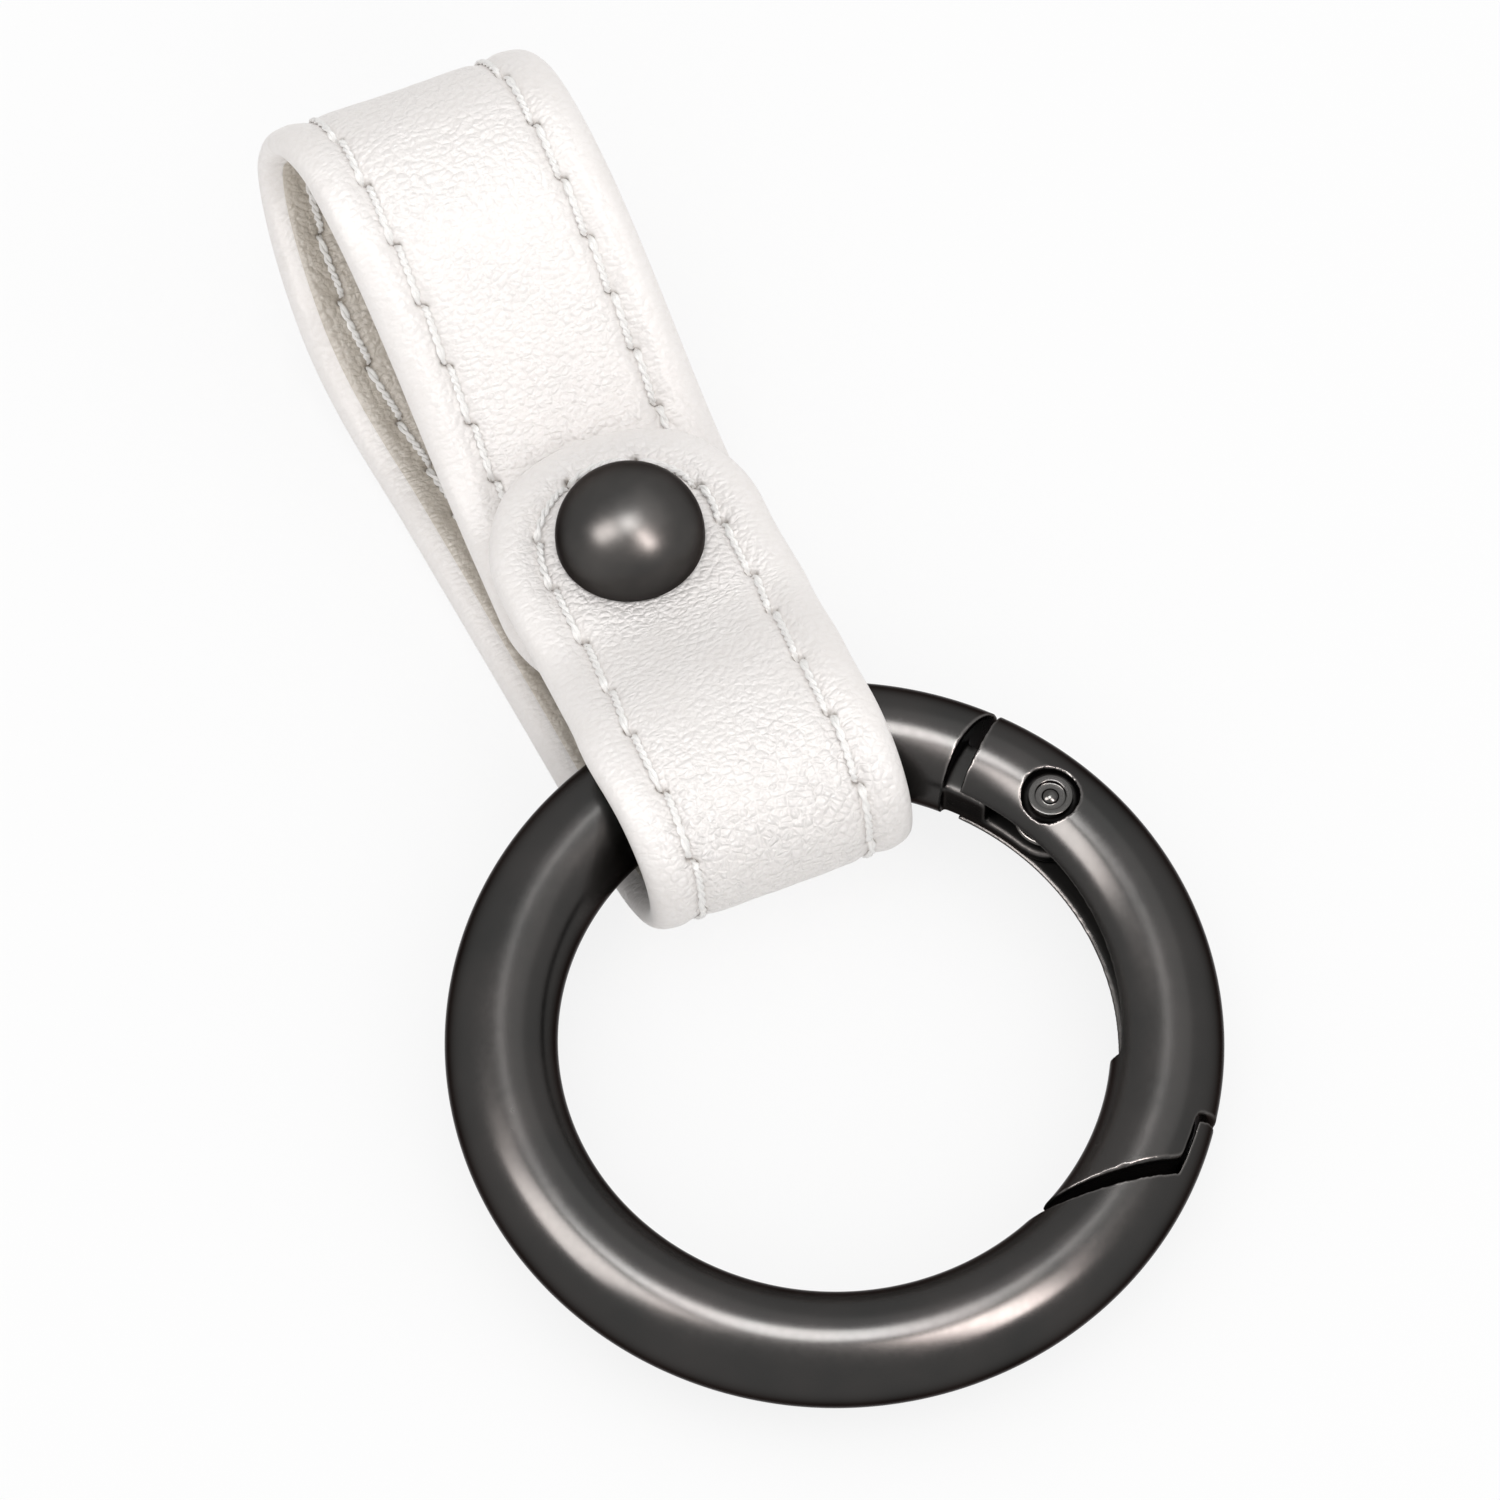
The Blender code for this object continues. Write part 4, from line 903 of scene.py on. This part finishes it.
def ring_gate():
    """The sprung gate: a channel from the hinge on, and a nose that shuts under the lip."""
    line, lip_radius = -NOSE_LINE + NOSE_GAP / 2, FAR - SPARE - LIP_THICKNESS - LIP_GAP
    end = math.acos(line / (RING_RADIUS - TUBE_RADIUS)) + NOSE_TILT + RUN_ON
    node = tube_arc(GATE_START, end)
    joined(node, prism(nose_cut(line, lip_radius, LIP_LENGTH - NOSE_LINE + NOSE_GAP / 2, -FAR), -FAR, FAR))
    before, clear = GATE_START - SPARE / RING_RADIUS, RING_RADIUS - TUBE_RADIUS - SPARE
    web = RING_RADIUS + CHANNEL_DEPTH
    slot = [*arc(web, before, CHANNEL_END), *arc(clear, CHANNEL_END, before)]
    joined(node, prism(slot, -CHANNEL_HALF, CHANNEL_HALF))
    joined(node, prism(disc(PIN_X, PIN_Y, PIN_BORE), -FAR, FAR))
    joined(node, prism(disc(PIN_X, PIN_Y, COUNTERBORE_RADIUS), COUNTERBORE_SEAT, FAR))
    joined(node, prism(disc(PIN_X, PIN_Y, COUNTERBORE_RADIUS), -FAR, -COUNTERBORE_SEAT))
    return cast("ring_gate_cast", node, 128, 175)


def rounded(profile, radius, closed):
    """A profile with each corner off the axis turned into a small arc."""
    nearly_straight, most = 0.35, 0.45
    count, out = len(profile), []
    for i, here in enumerate(profile):
        here = Vector(here)
        back, ahead = Vector(profile[i - 1]) - here, Vector(profile[(i + 1) % count]) - here
        end = not closed and i in (0, count - 1)
        if end or math.pi - back.angle(ahead) < nearly_straight:
            out.append(here)
            continue
        cut = min(radius, most * back.length, most * ahead.length)
        a, b = here + cut * back.normalized(), here + cut * ahead.normalized()
        out += [(1 - t) ** 2 * a + 2 * t * (1 - t) * here + t * t * b for t in (0, 0.25, 0.5, 0.75, 1)]
    return out


def turned(name, profile, at, closed=False, radius=0.07, sides=FINE_SIDES):
    """A turned piece in mm, with softened corners, put in place by a matrix."""
    outline = rounded(profile, radius, closed)
    turns = [math.tau * k / sides for k in range(sides)]
    points = [(at @ Vector((r * math.cos(t), r * math.sin(t), z))) * MM for r, z in outline for t in turns]
    made = rough_solid(name, points, ring_faces(len(outline), sides, closed=closed))
    smooth(made)
    return made


def smooth(made, angle=38):
    """Shades a piece smoothly, apart from its sharper edges."""
    made.data.shade_smooth()
    made.data.set_sharp_from_angle(angle=math.radians(angle))


def wire(name, path, radius, at, sides=14):
    """A wire along points in mm."""
    path = np.array(path, float)
    beside, up = sides_of(path, (0, 0, 1.0))
    turns = [math.tau * k / sides for k in range(sides)]
    rings = np.stack([path + radius * (math.cos(t) * beside + math.sin(t) * up) for t in turns], 1)
    points = [(at @ Vector(p)) * MM for p in rings.reshape(-1, 3)]
    made = rough_solid(name, points, ring_ends(len(path), sides) + ring_faces(len(path), sides))
    smooth(made, 60)
    return made


def gate_spring():
    """Two turns round the pin and a leg along the gate."""
    low, high, radius, turns = -0.19, 1.34, 1.9, 2
    leg_length, leg_steps, turn_steps = 6.5, 24, 40
    pin = Vector((PIN_X, PIN_Y))
    outward = pin.normalized()
    along = Vector((outward.y, -outward.x))
    path = []
    for i in range(leg_steps):
        share = i / leg_steps
        reach = leg_length * (1 - share)
        leg = pin + outward * radius * share**3 + along * reach - outward * reach**2 / (2 * RING_RADIUS)
        path.append((*leg, low))
    for i in range(turns * turn_steps + 1):
        turn = math.tau * i / turn_steps
        spot = pin + radius * (outward * math.cos(turn) - along * math.sin(turn))
        path.append((*spot, low + (high - low) * i / (turns * turn_steps)))
    return wire("gate_spring_wound", path, 0.16, RING_PLACE)


# The press stud's place, and its turned pieces' outlines as (radius, height) in mm
SNAP_PLACE = Matrix.Translation((0.4, 10.662, 0))
CAP_RADIUS, CAP_EDGE, CAP_DOME, CAP_SQUARE, CAP_STEPS = 4.45, 9.3, 4.1, 2 / 2.15, 32
CAP = ((0, 6.47), (1.6, 6.47), (1.6, 6.63), (1.4, 6.63), (1.4, 8.9), (4.25, 8.9), (CAP_RADIUS, 9.1))
SOCKET = ((1.5, 6.98), (3.75, 6.98), (4.1, 6.63), (4.1, 5.68), (2.4, 5.68), (2.4, 6.63), (1.5, 6.63))
STUD = ((0, 5.92), (1.25, 5.92), (1.25, 5.22), (3.9, 5.22), (3.9, 5.62), (1.55, 5.62), (1.55, 6.22))
POST = ((0, 2.9), (3.5, 2.9), (3.6, 3.1), (3.6, 3.3), (1.15, 3.3), (1.15, 5.92), (0, 5.92))
SPLIT_RADIUS, SPLIT_HEIGHT, SPLIT_WIRE = 1.975, 5.92, 0.18
SPLIT_FROM, SPLIT_SWEEP, SPLIT_STEPS = 30, 300, 60


def snap_parts():
    """The press stud: cap, socket and split ring on the tab, stud and post on the strap's other end."""
    turns = [math.pi * i / (2 * CAP_STEPS) for i in range(CAP_STEPS)]
    quarter = [(math.cos(t) ** CAP_SQUARE, math.sin(t) ** CAP_SQUARE) for t in turns]
    dome = [(CAP_RADIUS * x, CAP_EDGE + CAP_DOME * z) for x, z in quarter]
    cap = turned("snap_cap_domed", [*CAP, *dome, (0, CAP_EDGE + CAP_DOME)], SNAP_PLACE)
    turns = [math.radians(SPLIT_FROM + SPLIT_SWEEP * i / SPLIT_STEPS) for i in range(SPLIT_STEPS + 1)]
    split = [(SPLIT_RADIUS * math.cos(t), SPLIT_RADIUS * math.sin(t), SPLIT_HEIGHT) for t in turns]
    return (
        (cap, "snap_cap", "tab"),
        (turned("snap_socket_pressed", SOCKET, SNAP_PLACE, True), "snap_socket", "tab"),
        (wire("snap_split_ring", split, SPLIT_WIRE, SNAP_PLACE), "snap_ring_spring", "tab"),
        (turned("snap_stud_pressed", [*STUD, (0, 6.22)], SNAP_PLACE), "snap_stud", "strap"),
        (turned("snap_post_pressed", POST, SNAP_PLACE), "snap_post", "strap"),
    )


# The rivet's head, from its wall in to the small dome in its middle, as (radius, height) in mm
HEAD = ((PIN_RADIUS, 2.46), (1.3, 2.46), (1.3, 2.96), (PIN_RADIUS, 2.96), (PIN_RADIUS, 2.71))
HEAD_DOME, HEAD_DOME_EDGE, HEAD_DOME_RISE = 0.5, 2.71, 0.25


def gate_pin():
    """The rivet: a hollow head round a small dome, sunk in each counterbore."""
    turns = (0, 0.4, 0.8, 1.2)
    dome = [(HEAD_DOME * math.cos(t), HEAD_DOME_EDGE + HEAD_DOME_RISE * math.sin(t)) for t in turns]
    half = [*HEAD, *dome, (0, HEAD_DOME_EDGE + HEAD_DOME_RISE)]
    whole = [(r, -z) for r, z in reversed(half)] + half
    return turned("gate_pin_turned", whole, RING_PLACE @ Matrix.Translation((PIN_X, PIN_Y, 0)))


metal = [
    *snap_parts(),
    (ring_body(), "ring_body", "ring"),
    (gate_pin(), "gate_pin", "ring"),
    (ring_gate(), "ring_gate", "gate"),
    (gate_spring(), "gate_spring", "gate"),
]
finishes = {"snap_cap": BRUSHED, "gate_pin": RIVET, "snap_ring_spring": WIRE, "gate_spring": WIRE}
for piece, node, body in metal:
    dress(piece, node, finishes.get(node, GUNMETAL))
    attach(piece, body)


# Floor, light and camera
def seen_directly(n):
    """One on the camera's own rays and on those by way of mirrors and glass, and nought on others."""
    path = n.add("ShaderNodeLightPath")
    rays = n.maths("MAXIMUM", path.outputs["Is Camera Ray"], path.outputs["Is Glossy Ray"])
    return n.maths("MAXIMUM", rays, path.outputs["Is Transmission Ray"])


def floor():
    """A pale floor just under the strap, most of whose brightness in the picture is plain white."""
    half_size, whiteness = 3, 0.83
    mesh = bpy.data.meshes.new("floor")
    corners = [(x * half_size, y * half_size, 0) for x, y in ((-1, -1), (1, -1), (1, 1), (-1, 1))]
    mesh.from_pydata(corners, [], [(0, 1, 2, 3)])
    made = placed("floor", mesh)
    made.location.z = -0.01 * MM
    n = Nodes(bpy.data.materials.new("pale_floor"))
    n.into("Base Color", (0.9, 0.9, 0.9, 1))
    n.into("Roughness", 0.9)
    n.into("Specular IOR Level", 0.1)
    share = n.maths("MULTIPLY", seen_directly(n), whiteness)
    white = n.add("ShaderNodeEmission", {"Color": (1, 1, 1, 1), "Strength": 1.0})
    mix = n.add("ShaderNodeMixShader", {0: share, 1: n.shader.outputs[0], 2: white.outputs[0]})
    output = next(node for node in n.tree.nodes if node.type == "OUTPUT_MATERIAL")
    n.put(output.inputs[0], mix.outputs[0])
    mesh.materials.append(n.owner)


def world(level):
    """Even light from all round, and plain white for the camera and for mirrors."""
    made = bpy.data.worlds.new("studio")
    bpy.context.scene.world = made
    n = Nodes(made)
    n.tree.nodes.clear()
    lit = n.add("ShaderNodeBackground", {"Color": (1, 1, 1, 1), "Strength": level})
    white = n.add("ShaderNodeBackground", {"Color": (1, 1, 1, 1), "Strength": 1.0})
    mix = n.add("ShaderNodeMixShader", {0: seen_directly(n), 1: lit.outputs[0], 2: white.outputs[0]})
    n.add("ShaderNodeOutputWorld", {0: mix.outputs[0]})


def lamp(name, azimuth, elevation, wide, high, radiance, gloss, colour=(1, 1, 1)):
    """A soft lamp, seen from the origin at a compass angle from +Y, for gloss or for what is matt."""
    a, e = math.radians(azimuth), math.radians(elevation)
    reach = 0.7
    way = Vector((math.sin(a) * math.cos(e), math.cos(a) * math.cos(e), math.sin(e)))
    light = bpy.data.lights.new(name, "AREA")
    light.shape, light.color = "RECTANGLE", colour
    light.size = 2 * reach * math.tan(math.radians(wide / 2))
    light.size_y = 2 * reach * math.tan(math.radians(high / 2))
    light.energy = radiance * math.pi * light.size * light.size_y
    made = placed(name, light)
    side = Vector((math.cos(a), -math.sin(a), 0))
    turn = Matrix((side, way.cross(side), way)).transposed().to_4x4()
    made.matrix_world = Matrix.Translation(way * reach) @ turn
    made.visible_glossy, made.visible_diffuse = gloss, not gloss


def camera():
    """The camera as it was fitted to the ring's outline in the photo."""
    right = Vector((0.92831057, -0.37091463, -0.02572587))
    up = -Vector((-0.3364933, -0.80869902, -0.48247088))
    back = -Vector((0.15815103, 0.4565394, -0.87553414))
    spot = (-0.05338908, -0.16417753, 0.31357602)
    lens = bpy.data.cameras.new("camera")
    lens.lens, lens.sensor_width = 144, 36
    lens.clip_start, lens.clip_end = 0.01, 20
    made = placed("camera", lens)
    made.matrix_world = Matrix.Translation(spot) @ Matrix((right, up, back)).transposed().to_4x4()
    bpy.context.scene.camera = made


floor()
world(0.64)

# Lamps: azimuth, elevation, width and height in degrees, radiance, and whether for gloss
lamp("sky", 0, 65, 60, 60, 0.66, False)
lamp("side", 120, 35, 40, 50, 0.77, False)
lamp("front", 195, 25, 60, 40, 1.32, False)
lamp("overhead_gloss", 0, 89, 18, 20, 21, True)
for share in (1, 0.7, 0.4):
    lamp(f"overhead_haze_{share}", 72, 62, 56 * share, 42 * share, 0.6, True)
lamp("left_gloss", -88, 57, 22, 34, 17, True, (1, 0.95, 0.93))
lamp("right_gloss", 157, 55, 12, 32, 36, True, (1, 0.91, 0.88))
camera()
bpy.context.scene.view_settings.view_transform = "Standard"
